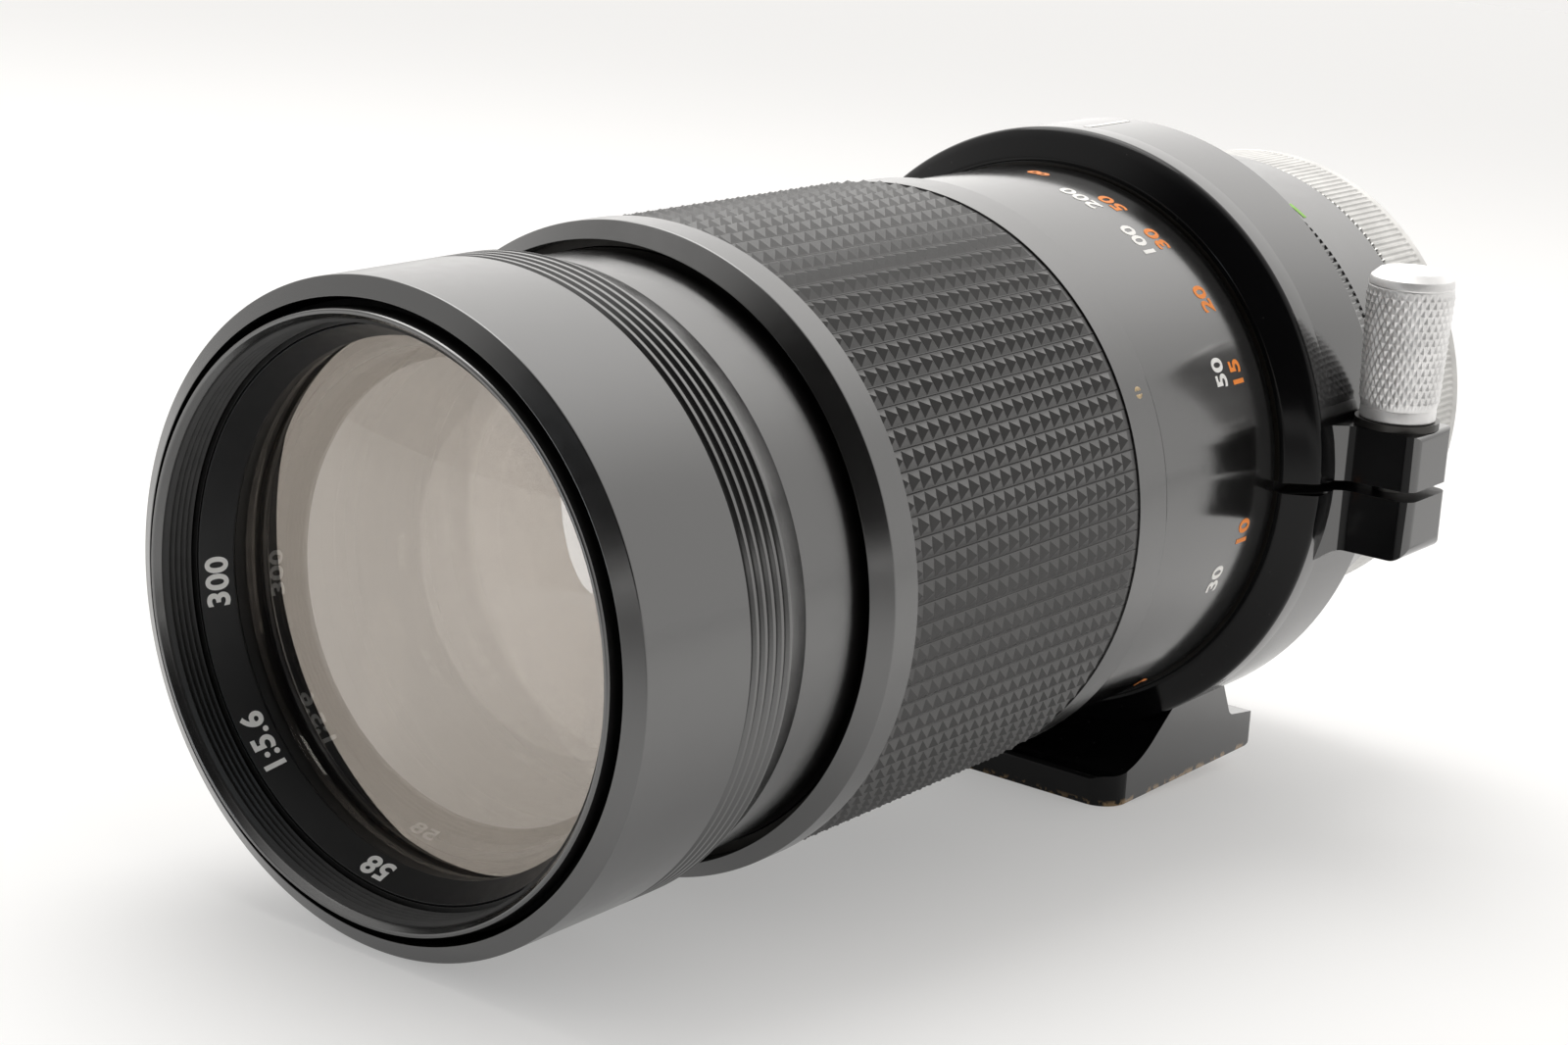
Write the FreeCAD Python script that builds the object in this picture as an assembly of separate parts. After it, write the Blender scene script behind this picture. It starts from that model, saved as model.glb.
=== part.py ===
import FreeCAD, Part
import math
import os
from FreeCAD import Placement, Rotation, Vector

# Telephoto prime lens, 300 mm f/5.6, with a sliding hood, a rotating tripod collar and a breech mount.
# The optical axis is the Y axis. The front looks to -Y, the foot points to -Z, and the origin is on the
# axis in the plane of the mount flange. A station is a distance in front of that plane: station s is at
# y = -s. Angles about the axis run from +X towards +Z. All lengths are millimetres.

# Fits
RUN = 0.05              # radial clearance where something turns or slides
SEAT = 0.02             # radial clearance where something is screwed or pressed in
PLAY = 0.1              # axial play of a ring that turns
CEMENT = 0.01           # layer between the two cemented elements
COLLAR_PLAY = 0.2       # axial play of the tripod collar

# Lengths along the axis, from the flange forward
BREECH_LENGTH = 12.0
BASE_PLATE = 0.9
APERTURE_LENGTH = 20.6
REAR_SHOULDER = 4.1
COLLAR_LENGTH = 17.9
SCALE_LENGTH = 26.2
LAND_LENGTH = 6.05
GRIP_LENGTH = 42.95
NOSE_LENGTH = 5.65
TUBE_SHOWN = 9.05
HOOD_LENGTH = 25.8
RIM_PROUD = 0.9

# Travel
FOCUS_TRAVEL = 30.0
FOCUS_TURN = 325.0
HOOD_TRAVEL = 18.0
APERTURE_TURN = 45.0
BLADE_TURN = 36.5
LEVER_TURN = 25.0

# Radii and walls, worked outwards from the filter thread
FILTER_RADIUS = 29.0
FILTER_DEPTH = 3.7
RIM_WALL = 1.95
TUBE_STEP = 1.0
TUBE_WALL = 2.3
GUIDE_WALL = 1.45
HELICOID_GAP = 0.1
HELICOID_WALL = 0.95
HELICOID_LENGTH = 20.0
HELICOID_SET = 3.0      # how far the helicoid's sleeve stays behind the nose
FOCUS_WALL = 0.88
GRIP_WALL = 0.9
GRIP_PITCH = 2.28       # between the grip's rows, around the ring
SCALE_STEP = 0.3
SEAT_STEP = 0.6
LINER_WALL = 0.8
COLLAR_WALL = 4.1
HOOD_AIR = 0.5
HOOD_WALL = 1.99
HOOD_GROOVES = 5
GROOVE_PITCH = 1.25
GROOVE_DEPTH = 0.7
STOP_PITCH = 1.01       # between the aperture ring's ribs
BREECH_PITCH = 0.863    # between the breech ring's ribs

# Foot, ears and clamp of the tripod collar
AXIS_HEIGHT = 42.5
FOOT_WIDTH = 39.6
FOOT_REACH = 8.5        # how far the plate runs in front of the ring
FOOT_LUG = 9.1          # how far the lug stands behind the ring
FOOT_PLATE = 3.9
FOOT_SWEEP = 14.0       # radius of the long curve from the plate up to the ring
EAR_REACH = 9.5         # how far the ears stand out from the ring
EAR_LENGTH = 10.0       # along the optical axis
EAR_ABOVE = 7.3
EAR_BELOW = 8.0
SPLIT = 1.2
KNOB_RADIUS = 4.75
KNOB_FLARE = 0.5
KNOB_HEIGHT = 17.9
KNOB_FLUTES = 30
SCREW_RADIUS = 2.0
WASHER = 0.85
SOCKET_RADIUS = 3.175   # quarter-inch tripod thread
SOCKET_ROOF = 1.8       # metal between the bush and the collar's bore

# Iris
BLADES = 8
IRIS_OPEN = 15.2
BLADE_WIDTH = 6.2
BLADE_SPAN = 112.0
BLADE_THICK = 0.1
BLADE_TILT = 4.4        # the blades lean so that each tip passes over the next heel
BLADE_RISE = 150.0      # direction of the lean, from the pivot's own radius
PIN_RADIUS = 0.45
DRIVE_ANGLE = 16.0

# Curves and thicknesses of the six elements, numbered from the front
CURVE_1 = 92.0
CURVE_1_REAR = -420.0
THICK_1 = 8.0
CURVE_2 = 75.0
CURVE_2_REAR = 160.0
THICK_2 = 7.0
AIR_2 = 1.0
CURVE_3 = -190.0
CURVE_3_REAR = 85.0
THICK_3 = 3.0
CURVE_4 = -60.0
CURVE_5 = 45.0          # the fourth's rear is cemented to it
CURVE_5_REAR = -70.0
THICK_4 = 2.0
THICK_5 = 5.0
CURVE_6 = -38.0
CURVE_6_REAR = -90.0
THICK_6 = 2.0
AIR_6 = 4.5
CELL_STEP = 0.58        # between the seats of the second and the third
INNER_RING = 1.1        # thread left behind the third for its ring
BAFFLE_LENGTH = 30.0
WINDOW_WIDTH = 24.0     # the baffle's light opening
WINDOW_HEIGHT = 16.0

# Where the hidden controls sit about the axis
ARM_ANGLE = 180.0
ARM_WIDTH = 8.0
LEVER_ANGLE = 300.0
KEY_ANGLE = 90.0

# Stations
breech_front = BREECH_LENGTH
base_rear = breech_front + PLAY
base_front = base_rear + BASE_PLATE
aperture_rear = base_front + PLAY
aperture_front = aperture_rear + APERTURE_LENGTH
shoulder_rear = aperture_front + PLAY
shoulder_front = shoulder_rear + REAR_SHOULDER
collar_rear = shoulder_front + COLLAR_PLAY
collar_front = collar_rear + COLLAR_LENGTH
seat_front = collar_front + COLLAR_PLAY
scale_rear = seat_front + PLAY
scale_front = scale_rear + SCALE_LENGTH
grip_rear = scale_front + LAND_LENGTH
grip_front = grip_rear + GRIP_LENGTH
focus_front = grip_front + NOSE_LENGTH
hood_rear = focus_front + TUBE_SHOWN
hood_front = hood_rear + HOOD_LENGTH
rim_front = hood_front + RIM_PROUD

# Radii
sleeve_radius = FILTER_RADIUS + RIM_WALL
tube_radius = sleeve_radius + TUBE_STEP
guide_radius = tube_radius - TUBE_WALL - RUN
guide_bore = guide_radius - GUIDE_WALL
helicoid_bore = tube_radius + HELICOID_GAP
helicoid_radius = helicoid_bore + HELICOID_WALL
focus_bore = helicoid_radius + SEAT
grip_seat = focus_bore + FOCUS_WALL
grip_radius = grip_seat + GRIP_WALL
scale_radius = grip_seat - SCALE_STEP
seat_radius = scale_radius - SEAT_STEP
lip_radius = seat_radius + 2.6
journal_radius = tube_radius - 0.15
collar_bore = seat_radius + RUN + LINER_WALL + SEAT
collar_radius = collar_bore + COLLAR_WALL
hood_bore = sleeve_radius + HOOD_AIR
hood_radius = hood_bore + HOOD_WALL
cell_radius = FILTER_RADIUS - 0.6
glass_edge = cell_radius - 1.0
optic_radius = guide_bore - 2.65
optic_bore = optic_radius - 1.75
rear_journal = guide_radius - 0.1
rear_bore = rear_journal - 1.8
aperture_radius = rear_journal + RUN + 1.85
rib_radius = aperture_radius + 0.8
breech_radius = aperture_radius - 0.5
breech_journal = breech_radius - 3.7
breech_nose = breech_journal - 1.8
retainer_bore = breech_nose - 1.1
throat_bore = breech_journal - 4.0
throat_lip = throat_bore - 3.7
key_top = guide_radius + 1.0


def corner(radius, station, angle=0.0):
    """Point at a radius, a station and an angle about the optical axis."""
    turn = math.radians(angle)
    return Vector(radius * math.cos(turn), -station, radius * math.sin(turn))


def turned(profile):
    """Solid of revolution about the optical axis from a closed list of (radius, station)."""
    points = [corner(radius, station) for radius, station in profile]
    face = Part.Face(Part.makePolygon(points + points[:1]))
    return face.revolve(Vector(), Vector(0, -1, 0), 360)


def ring(outer, inner, rear, front, bevel=0.0):
    """Plain ring, with the two outer edges bevelled."""
    if not bevel:
        return turned([(inner, rear), (outer, rear), (outer, front), (inner, front)])
    return turned([(inner, rear), (outer - bevel, rear), (outer, rear + bevel),
                   (outer, front - bevel), (outer - bevel, front), (inner, front)])


def sector(outer, inner, rear, front, start, end):
    """Part of a ring between two angles about the axis."""
    points = [corner(inner, rear, start), corner(outer, rear, start),
              corner(outer, front, start), corner(inner, front, start)]
    face = Part.Face(Part.makePolygon(points + points[:1]))
    return face.revolve(Vector(), Vector(0, -1, 0), end - start)


def ribbed(outer, depth, spacing, rear, front, land=0.5):
    """Prism along the axis whose outline is a row of teeth; land is the crest's share of a pitch."""
    count = round(2 * math.pi * outer / spacing)
    pitch = 360.0 / count
    points = []
    for tooth in range(count):
        first = tooth * pitch
        points.append(corner(outer, rear, first))
        points.append(corner(outer, rear, first + land * pitch))
        points.append(corner(outer - depth, rear, first + (land + (1 - land) / 2) * pitch))
    return Part.Face(Part.makePolygon(points + points[:1])).extrude(Vector(0, rear - front, 0))


def forward(shape):
    """Turn a shape built about +Z, with z as station, onto the optical axis."""
    shape = shape.copy()
    shape.rotate(Vector(), Vector(1, 0, 0), 90)
    return shape


def pin(radius, start, end):
    """Round pin between two points."""
    along = end - start
    return Part.makeCylinder(radius, along.Length, start, along)


def disc(radius, rear, front):
    """Solid cylinder on the optical axis, used to clear a bore."""
    return pin(radius, corner(0, rear), corner(0, front))


def slotted_screw(radius, seat, out, length, slot=0.35):
    """Grub screw: seat is the centre of its outer end, out points away from the work."""
    body = pin(radius, seat - out * length, seat)
    across = out.cross(Vector(0, 1, 0))
    cut = Part.makeBox(slot, 3 * radius, slot * 1.4, Vector(-slot / 2, -1.5 * radius, -slot * 1.4))
    cut.Placement = Placement(seat, Rotation(across, Vector(0, 1, 0), out, "ZYX"))
    return body.cut(cut)


def sag(curve, radius):
    """Depth of a spherical surface at a radius; curve is signed like the surface's radius."""
    return math.copysign(abs(curve) - math.sqrt(curve * curve - radius * radius), curve)


def lens(vertex, thick, front_curve, rear_curve, edge):
    """Glass element: a positive front curve bulges forward, a positive rear curve is hollow behind."""
    front_edge = vertex - sag(front_curve, edge)
    rear_edge = vertex - thick - sag(rear_curve, edge)
    half = edge / 2
    crown = Part.Arc(corner(0, vertex), corner(half, vertex - sag(front_curve, half)),
                     corner(edge, front_edge)).toShape()
    side = Part.LineSegment(corner(edge, front_edge), corner(edge, rear_edge)).toShape()
    back = Part.Arc(corner(edge, rear_edge), corner(half, vertex - thick - sag(rear_curve, half)),
                    corner(0, vertex - thick)).toShape()
    axis = Part.LineSegment(corner(0, vertex - thick), corner(0, vertex)).toShape()
    face = Part.Face(Part.Wire([crown, side, back, axis]))
    return face.revolve(Vector(), Vector(0, -1, 0), 360)


os.makedirs("parts", exist_ok=True)


def save(name, *shapes):
    """Write one sub-part; identical pieces of a set share its file."""
    shape = shapes[0] if len(shapes) == 1 else Part.makeCompound(list(shapes))
    shape.exportStep("parts/" + name + ".step")


# Tripod collar: one casting of split ring, clamp ears, web and foot plate

shoulder_depth = COLLAR_LENGTH * 0.25
ear_x = collar_radius + EAR_REACH
ear_rear = collar_rear + 0.5
ear_front = ear_rear + EAR_LENGTH
clamp_x = ear_x - KNOB_RADIUS - 0.5
clamp_y = -(ear_rear + ear_front) / 2
foot_front = collar_front + FOOT_REACH
foot_rear = collar_rear - FOOT_LUG
socket_station = (foot_front + foot_rear) / 2
foot_under = -AXIS_HEIGHT
socket_depth = AXIS_HEIGHT - collar_bore - SOCKET_ROOF


def collar_ring():
    """The ring, with a coned front and a rounded edge where the cone meets the band."""
    edge = 0.9
    band_end = collar_front - shoulder_depth
    return turned([(collar_bore, collar_rear), (collar_radius - 0.6, collar_rear),
                   (collar_radius, collar_rear + 0.6), (collar_radius, band_end - edge),
                   (collar_radius - 0.12 * edge, band_end - 0.45 * edge),
                   (collar_radius - 0.45 * edge, band_end),
                   (collar_radius - COLLAR_WALL + 1.0, collar_front - 0.5),
                   (collar_radius - COLLAR_WALL + 0.5, collar_front), (collar_bore, collar_front)])


def rounded_plan(points, radii):
    """Closed outline in one plane with each corner rounded by its own radius."""
    edges = []
    count = len(points)
    starts = []
    ends = []
    for index in range(count):
        here = points[index]
        back = (points[index - 1] - here).normalize()
        ahead = (points[(index + 1) % count] - here).normalize()
        half = back.getAngle(ahead) / 2
        reach = radii[index] / math.tan(half) if radii[index] else 0.0
        starts.append(here + back * reach)
        ends.append(here + ahead * reach)
        if radii[index]:
            centre = here + (back + ahead).normalize() * (radii[index] / math.sin(half))
            middle = centre + (here - centre).normalize() * radii[index]
            edges.append((index, Part.Arc(starts[index], middle, ends[index]).toShape()))
    arcs = dict(edges)
    outline = []
    for index in range(count):
        if index in arcs:
            outline.append(arcs[index])
        start = ends[index]
        end = starts[(index + 1) % count]
        if start.distanceToPoint(end) > 1e-6:
            outline.append(Part.LineSegment(start, end).toShape())
    return Part.Face(Part.Wire(Part.__sortEdges__(outline)))


def ears():
    """Both ears in one block: the plan flares into the ring, the front view curves into it below."""
    root = collar_radius - 3.0
    low = -EAR_BELOW - 6.0
    flare = Vector(collar_radius + 1.2, -ear_front, low)
    plan = rounded_plan(
        [Vector(root, -ear_front - 4.0, low), flare, Vector(ear_x, -ear_front, low),
         Vector(ear_x, -ear_rear, low), Vector(root, -ear_rear, low)], [0, 1.8, 1.6, 1.6, 0])
    upright = plan.extrude(Vector(0, 0, EAR_ABOVE - low))
    rear_plane = -ear_rear + 1.0
    view = rounded_plan(
        [Vector(root - 4, rear_plane, EAR_ABOVE), Vector(ear_x, rear_plane, EAR_ABOVE),
         Vector(ear_x, rear_plane, -EAR_BELOW), Vector(collar_radius + 0.6, rear_plane, -EAR_BELOW),
         Vector(root - 4, rear_plane, -EAR_BELOW - 6.0)], [0, 0.7, 2.2, 2.0, 0])
    return upright.common(view.extrude(Vector(0, -EAR_LENGTH - 8.0, 0)))


def foot():
    """Web and plate: the side view has the long front curve and the hooked lug behind."""
    half = FOOT_WIDTH / 2
    inside = -math.sqrt(collar_radius ** 2 - half ** 2) + 1.8
    top = foot_under + FOOT_PLATE
    front = -foot_front
    rear = -foot_rear
    ring_rear = -collar_rear
    side = rounded_plan(
        [Vector(-half, front, foot_under), Vector(-half, rear, foot_under), Vector(-half, rear, top + 0.6),
         Vector(-half, ring_rear + 2.4, top + 1.6), Vector(-half, ring_rear - 0.9, inside),
         Vector(-half, -collar_front + shoulder_depth + 3.0, inside),
         Vector(-half, -collar_front - 3.0, top), Vector(-half, front, top)],
        [0, 2.0, 1.2, 1.6, 0, 0, FOOT_SWEEP, 0.8])
    body = side.extrude(Vector(FOOT_WIDTH, 0, 0))
    plan = rounded_plan(
        [Vector(-half, front, foot_under), Vector(half, front, foot_under),
         Vector(half, rear, foot_under), Vector(-half, rear, foot_under)], [3.6, 3.6, 1.2, 1.2])
    return body.common(plan.extrude(Vector(0, 0, AXIS_HEIGHT)))


def tripod_collar():
    body = collar_ring().fuse([ears(), foot()]).removeSplitter()
    body = body.cut(disc(collar_bore, foot_rear - 1, foot_front + 1))
    gap = Part.makeBox(ear_x, COLLAR_LENGTH + 20, SPLIT, Vector(0, -collar_front - 10, -SPLIT / 2))
    above = pin(SCREW_RADIUS + 0.3, Vector(clamp_x, clamp_y, 0), Vector(clamp_x, clamp_y, EAR_ABOVE + 1))
    below = pin(SCREW_RADIUS + RUN, Vector(clamp_x, clamp_y, -EAR_BELOW - 1), Vector(clamp_x, clamp_y, 0))
    bush = pin(SOCKET_RADIUS + 1.6 + SEAT, Vector(0, -socket_station, foot_under - 1),
               Vector(0, -socket_station, foot_under + socket_depth + 0.1))
    relief = disc(lip_radius + 0.4, foot_rear - 1, collar_rear)
    return body.cut([gap, above, below, bush, relief])


save("tripod_collar", tripod_collar())

liner = ring(collar_bore - SEAT, seat_radius + RUN, collar_rear + 0.3, collar_front - 0.3)
save("collar_liner", liner.cut(Part.makeBox(99, 99, SPLIT, Vector(0, -99, -SPLIT / 2))))

bush_body = pin(SOCKET_RADIUS + 1.6, Vector(0, -socket_station, foot_under),
                Vector(0, -socket_station, foot_under + socket_depth))
bush_hole = pin(SOCKET_RADIUS, Vector(0, -socket_station, foot_under - 1),
                Vector(0, -socket_station, foot_under + socket_depth + 1))
save("tripod_bush", bush_body.cut(bush_hole))

# Clamp: washer, knurled knob and its screw, upright through both ears

knob_foot = EAR_ABOVE + WASHER
knob_top = knob_foot + KNOB_HEIGHT
knurl_start = knob_foot + 1.6
knurl_end = knob_top - 2.0


def upright(profile):
    """Solid of revolution about the clamp's own axis from (radius, height) corners."""
    points = [Vector(radius, 0, height) for radius, height in profile]
    body = Part.Face(Part.makePolygon(points + points[:1])).revolve(Vector(), Vector(0, 0, 1), 360)
    body.translate(Vector(clamp_x, clamp_y, 0))
    return body


def clamp_knob():
    """Flared knob with a plain neck and cap; the grip is cut by flutes that follow the flare."""
    wide = KNOB_RADIUS + KNOB_FLARE
    body = upright([(SCREW_RADIUS + SEAT, knob_foot), (KNOB_RADIUS - 0.35, knob_foot),
                    (KNOB_RADIUS - 0.15, knob_foot + 0.2), (KNOB_RADIUS - 0.15, knurl_start - 0.2),
                    (KNOB_RADIUS, knurl_start), (wide, knurl_end), (wide - 0.15, knurl_end + 0.3),
                    (wide - 0.3, knob_top - 0.9), (wide - 1.4, knob_top), (0, knob_top),
                    (0, knurl_end - 3.0), (SCREW_RADIUS + SEAT, knurl_end - 3.0)])
    flutes = []
    lean = math.degrees(math.atan2(KNOB_FLARE, knurl_end - knurl_start))
    for index in range(KNOB_FLUTES):
        flute = Part.makeBox(0.4, 0.4, knurl_end - knurl_start + 0.2, Vector(-0.2, -0.2, 0))
        flute.rotate(Vector(), Vector(0, 0, 1), 45)
        flute.rotate(Vector(), Vector(0, 1, 0), lean)
        flute.translate(Vector(KNOB_RADIUS + 0.04, 0, knurl_start - 0.1))
        flute.rotate(Vector(), Vector(0, 0, 1), index * 360.0 / KNOB_FLUTES)
        flute.translate(Vector(clamp_x, clamp_y, 0))
        flutes.append(flute)
    return body.cut(flutes)


save("clamp_knob", clamp_knob())
save("clamp_washer", upright([(SCREW_RADIUS + 0.3, EAR_ABOVE), (KNOB_RADIUS + 0.25, EAR_ABOVE),
                              (KNOB_RADIUS + 0.25, knob_foot), (SCREW_RADIUS + 0.3, knob_foot)]))
save("clamp_screw", upright([(0, 1.0 - EAR_BELOW), (SCREW_RADIUS - 0.4, 1.0 - EAR_BELOW),
                             (SCREW_RADIUS, 1.4 - EAR_BELOW), (SCREW_RADIUS, knurl_end - 3.1),
                             (0, knurl_end - 3.1)]))

# Fixed barrel: the seat of the collar behind, the journal of the focus ring in front

retainer_front = scale_front + 3.5 + PLAY + 2.0
retainer_rear = retainer_front - 2.0
nose_radius = journal_radius - 0.8
barrel_bore = rear_journal + 0.9
guide_front = focus_front - 2.2


def main_barrel():
    return turned([(barrel_bore, shoulder_front), (seat_radius, shoulder_front), (seat_radius, seat_front),
                   (journal_radius, seat_front), (journal_radius, retainer_rear),
                   (nose_radius, retainer_rear), (nose_radius, retainer_front),
                   (guide_radius + SEAT, retainer_front), (guide_radius + SEAT, retainer_rear - 4.3),
                   (barrel_bore, retainer_rear - 4.3)])


def key_pocket(half, low, high):
    """Pair of blocks astride the vertical plane, used for the keys and the keyways."""
    blocks = []
    for angle in (KEY_ANGLE, KEY_ANGLE + 180):
        blocks.append(sector(high, low, guide_front - 7.0, guide_front - 1.0, angle - half, angle + half))
    return blocks


save("main_barrel", main_barrel())
save("guide_barrel", ring(guide_radius, guide_bore, retainer_rear - 4.2, guide_front))
save("guide_keys", *key_pocket(3.0, guide_radius + SEAT, key_top))
save("focus_retainer", ring(helicoid_radius - 0.1, nose_radius + SEAT, retainer_rear, retainer_front))

stop_half = (360.0 - FOCUS_TURN - 1.0) / 4
stop_angle = 270.0
save("focus_stop", sector(helicoid_radius - 0.15, nose_radius + 0.3, retainer_front, retainer_front + 1.7,
                          stop_angle - stop_half, stop_angle + stop_half))

# Rear barrel, behind the collar, under the aperture ring

arm_half = ARM_WIDTH / 2
arm_closed = ARM_ANGLE - APERTURE_TURN
window_start = arm_closed - arm_half - 2.0
window_end = ARM_ANGLE + arm_half + 2.0
arm_rear = shoulder_rear - 6.8
arm_front = arm_rear + 3.0
screw_circle = (rear_bore + rear_journal) / 2
screw_angles = (20.0, 110.0, 200.0, 290.0)


def mount_screw(angle, grow=0.0):
    """Countersunk screw along the axis, its head flush with the back of the base plate."""
    shank = 0.5 + grow
    head = 0.95 + grow
    start = base_rear
    points = [Vector(0, 0, start), Vector(head, 0, start), Vector(shank, 0, start + 0.6),
              Vector(shank, 0, start + 4.5 + grow), Vector(0, 0, start + 4.5 + grow)]
    body = Part.Face(Part.makePolygon(points + points[:1])).revolve(Vector(), Vector(0, 0, 1), 360)
    body.translate(Vector(screw_circle * math.cos(math.radians(angle)),
                          screw_circle * math.sin(math.radians(angle)), 0))
    return forward(body)


def rear_barrel():
    body = turned([(rear_bore, base_front), (rear_journal, base_front), (rear_journal, shoulder_rear),
                   (lip_radius - 0.3, shoulder_rear), (lip_radius, shoulder_rear + 0.3),
                   (lip_radius, shoulder_front - 0.3), (lip_radius - 0.3, shoulder_front),
                   (barrel_bore - SEAT, shoulder_front), (barrel_bore - SEAT, shoulder_front + 4.5),
                   (rear_bore, shoulder_front + 4.5)])
    window = sector(rear_journal + 1, rear_bore - 1, arm_rear - 0.4, arm_front + 0.4,
                    window_start, window_end)
    click = pin(0.9, corner(rear_bore - 1, arm_rear - 6, 60), corner(rear_journal + 1, arm_rear - 6, 60))
    return body.cut([window, click] + [mount_screw(angle, SEAT) for angle in screw_angles])


save("rear_barrel", rear_barrel())
save("mount_screws", *[mount_screw(angle) for angle in screw_angles])

# Mount base: plate, journal of the breech ring, register face and the throat with its lever slots

lever_outer = throat_bore - 0.3
lever_inner = lever_outer - 1.5
lip_front = 2.2
step_station = 7.0
retainer_step = 5.1
signal_half = 2.5
stop_tab = 2.5


def mount_base():
    body = turned([(throat_lip, 0), (retainer_bore, 0), (retainer_bore, retainer_step),
                   (breech_nose, retainer_step), (breech_nose, step_station),
                   (breech_journal, step_station), (breech_journal, base_rear),
                   (rear_journal + 0.5, base_rear), (rear_journal + 0.5, base_front),
                   (throat_bore, base_front), (throat_bore, lip_front), (throat_lip, lip_front)])
    signal = sector(throat_bore - 0.1, lever_inner - 0.2, -1, lip_front + 1,
                    arm_closed - signal_half - 1.5, ARM_ANGLE + signal_half + 1.5)
    lever = sector(throat_bore - 0.1, lever_inner - 0.2, -1, lip_front + 1,
                   LEVER_ANGLE - stop_tab - 1.5, LEVER_ANGLE + LEVER_TURN + stop_tab + 1.5)
    locator = pin(0.8 + SEAT, corner((throat_lip + retainer_bore) / 2, -1, 90),
                  corner((throat_lip + retainer_bore) / 2, lip_front - 0.5, 90))
    return body.cut([signal, lever, locator] + [mount_screw(angle, SEAT) for angle in screw_angles])


save("mount_base", mount_base())
save("mount_pin", pin(0.8, corner((throat_lip + retainer_bore) / 2, -1.2, 90),
                      corner((throat_lip + retainer_bore) / 2, lip_front - 0.5, 90)))
save("breech_retainer", ring(breech_nose + 1.0, retainer_bore + SEAT, retainer_step - 1.0, retainer_step))


def breech_ring():
    """Bright locking ring: ribbed outside, three wedge lugs inside at the back."""
    rear = 0.2
    solid = ribbed(breech_radius, 0.3, BREECH_PITCH, rear, breech_front, 0.55)
    solid = solid.common(ring(breech_radius + 1, 1, rear, breech_front, 1.35))
    lip_rear = retainer_step + PLAY
    hollow = turned([(1.0, rear - 1), (breech_nose + 1.4, rear - 1), (breech_nose + 1.4, lip_rear),
                     (breech_nose + RUN, lip_rear), (breech_nose + RUN, step_station - PLAY),
                     (breech_journal + RUN, step_station - PLAY), (breech_journal + RUN, base_rear + 1),
                     (1.0, base_rear + 1)])
    body = solid.cut(hollow)
    lugs = [sector(breech_nose + 1.6, retainer_bore + 0.7, rear, 1.8, start, start + 50)
            for start in (65, 185, 305)]
    return body.fuse(lugs).removeSplitter()


save("breech_ring", breech_ring())

# Stop-down lever: an arc carriage in the throat with a tab that reaches behind the flange

lever_reach = 4.0
carriage = sector(throat_bore - RUN, lever_inner - 1.0, lip_front + 1.2, lip_front + 3.2,
                  LEVER_ANGLE - 14, LEVER_ANGLE + 14)
save("stop_down_lever", carriage.fuse(sector(lever_outer, lever_inner, -lever_reach, lip_front + 1.4,
                                             LEVER_ANGLE - stop_tab, LEVER_ANGLE + stop_tab)))

# Aperture ring: fine ribs in front, a smooth band for the stops behind

ribs_rear = aperture_rear + APERTURE_LENGTH * 0.56


def aperture_ring():
    ribs = ribbed(rib_radius, 0.35, STOP_PITCH, ribs_rear, aperture_front, 0.5)
    ribs = ribs.common(ring(rib_radius, 1, ribs_rear, aperture_front, 0.4))
    band = turned([(rear_journal + RUN, aperture_rear), (aperture_radius - 0.3, aperture_rear),
                   (aperture_radius, aperture_rear + 0.3), (aperture_radius, aperture_front),
                   (rear_journal + RUN, aperture_front)])
    bore = disc(rear_journal + RUN, aperture_rear - 1, aperture_front + 1)
    return band.fuse(ribs).cut(bore).removeSplitter()


arm_inner = optic_radius + 0.7
arm_outer = arm_inner + 1.2
arm_end = retainer_front + FOCUS_TRAVEL + 3.8
arm_bar = sector(arm_outer, arm_inner, arm_rear, arm_end, ARM_ANGLE - arm_half, ARM_ANGLE + arm_half)
arm_root = sector(rear_journal, arm_inner, arm_rear, arm_front, ARM_ANGLE - arm_half, ARM_ANGLE + arm_half)
signal_leg = sector(lever_outer, lever_inner, -lever_reach, arm_front - 1.0,
                    ARM_ANGLE - signal_half, ARM_ANGLE + signal_half)
signal_root = sector(arm_inner - SEAT, lever_inner, arm_rear, arm_front - 1.0,
                     ARM_ANGLE - signal_half, ARM_ANGLE + signal_half)
save("aperture_ring", aperture_ring())
save("aperture_arm", arm_root.fuse(arm_bar))
save("signal_lever", signal_root.fuse(signal_leg))
save("click_ball", Part.makeSphere(0.88, corner(rear_journal - 0.87, arm_rear - 6, 60)))
save("click_spring", sector(rear_bore - SEAT, rear_bore - 0.3, arm_rear - 7.2, arm_rear - 4.8, 48, 72))

# Focus ring: bevelled nose, seat of the grip, rear land; a lug inside meets the stop at each end


def set_screws(grow=0.0):
    """Three grub screws that lock the scale ring to the focus ring."""
    screws = []
    for angle in (26.5, 146.5, 266.5):
        out = corner(1, 0, angle)
        seat = corner(grip_radius - 0.4 + grow, grip_rear - 3.4, angle)
        if grow:
            screws.append(pin(0.75 + SEAT, seat - out * 3.0, seat + out))
        else:
            screws.append(slotted_screw(0.75, seat - out * 0.1, out, 2.0))
    return screws


def focus_ring():
    bevel = 1.85
    nose = grip_radius + 0.1
    land = grip_radius - 0.4
    body = turned([(focus_bore, scale_front + PLAY / 2), (land - 0.2, scale_front + PLAY / 2),
                   (land, scale_front + 0.3), (land, grip_rear), (grip_seat, grip_rear),
                   (grip_seat, grip_front), (nose, grip_front), (nose, focus_front - bevel),
                   (focus_bore + 0.06, focus_front), (focus_bore, focus_front)])
    lug = sector(focus_bore + 0.2, helicoid_bore + 0.12, retainer_front + 0.2, retainer_front + 1.6,
                 stop_angle + stop_half + 0.25, stop_angle + 3 * stop_half + 0.25)
    return body.fuse(lug).cut(set_screws(SEAT)).removeSplitter()


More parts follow.
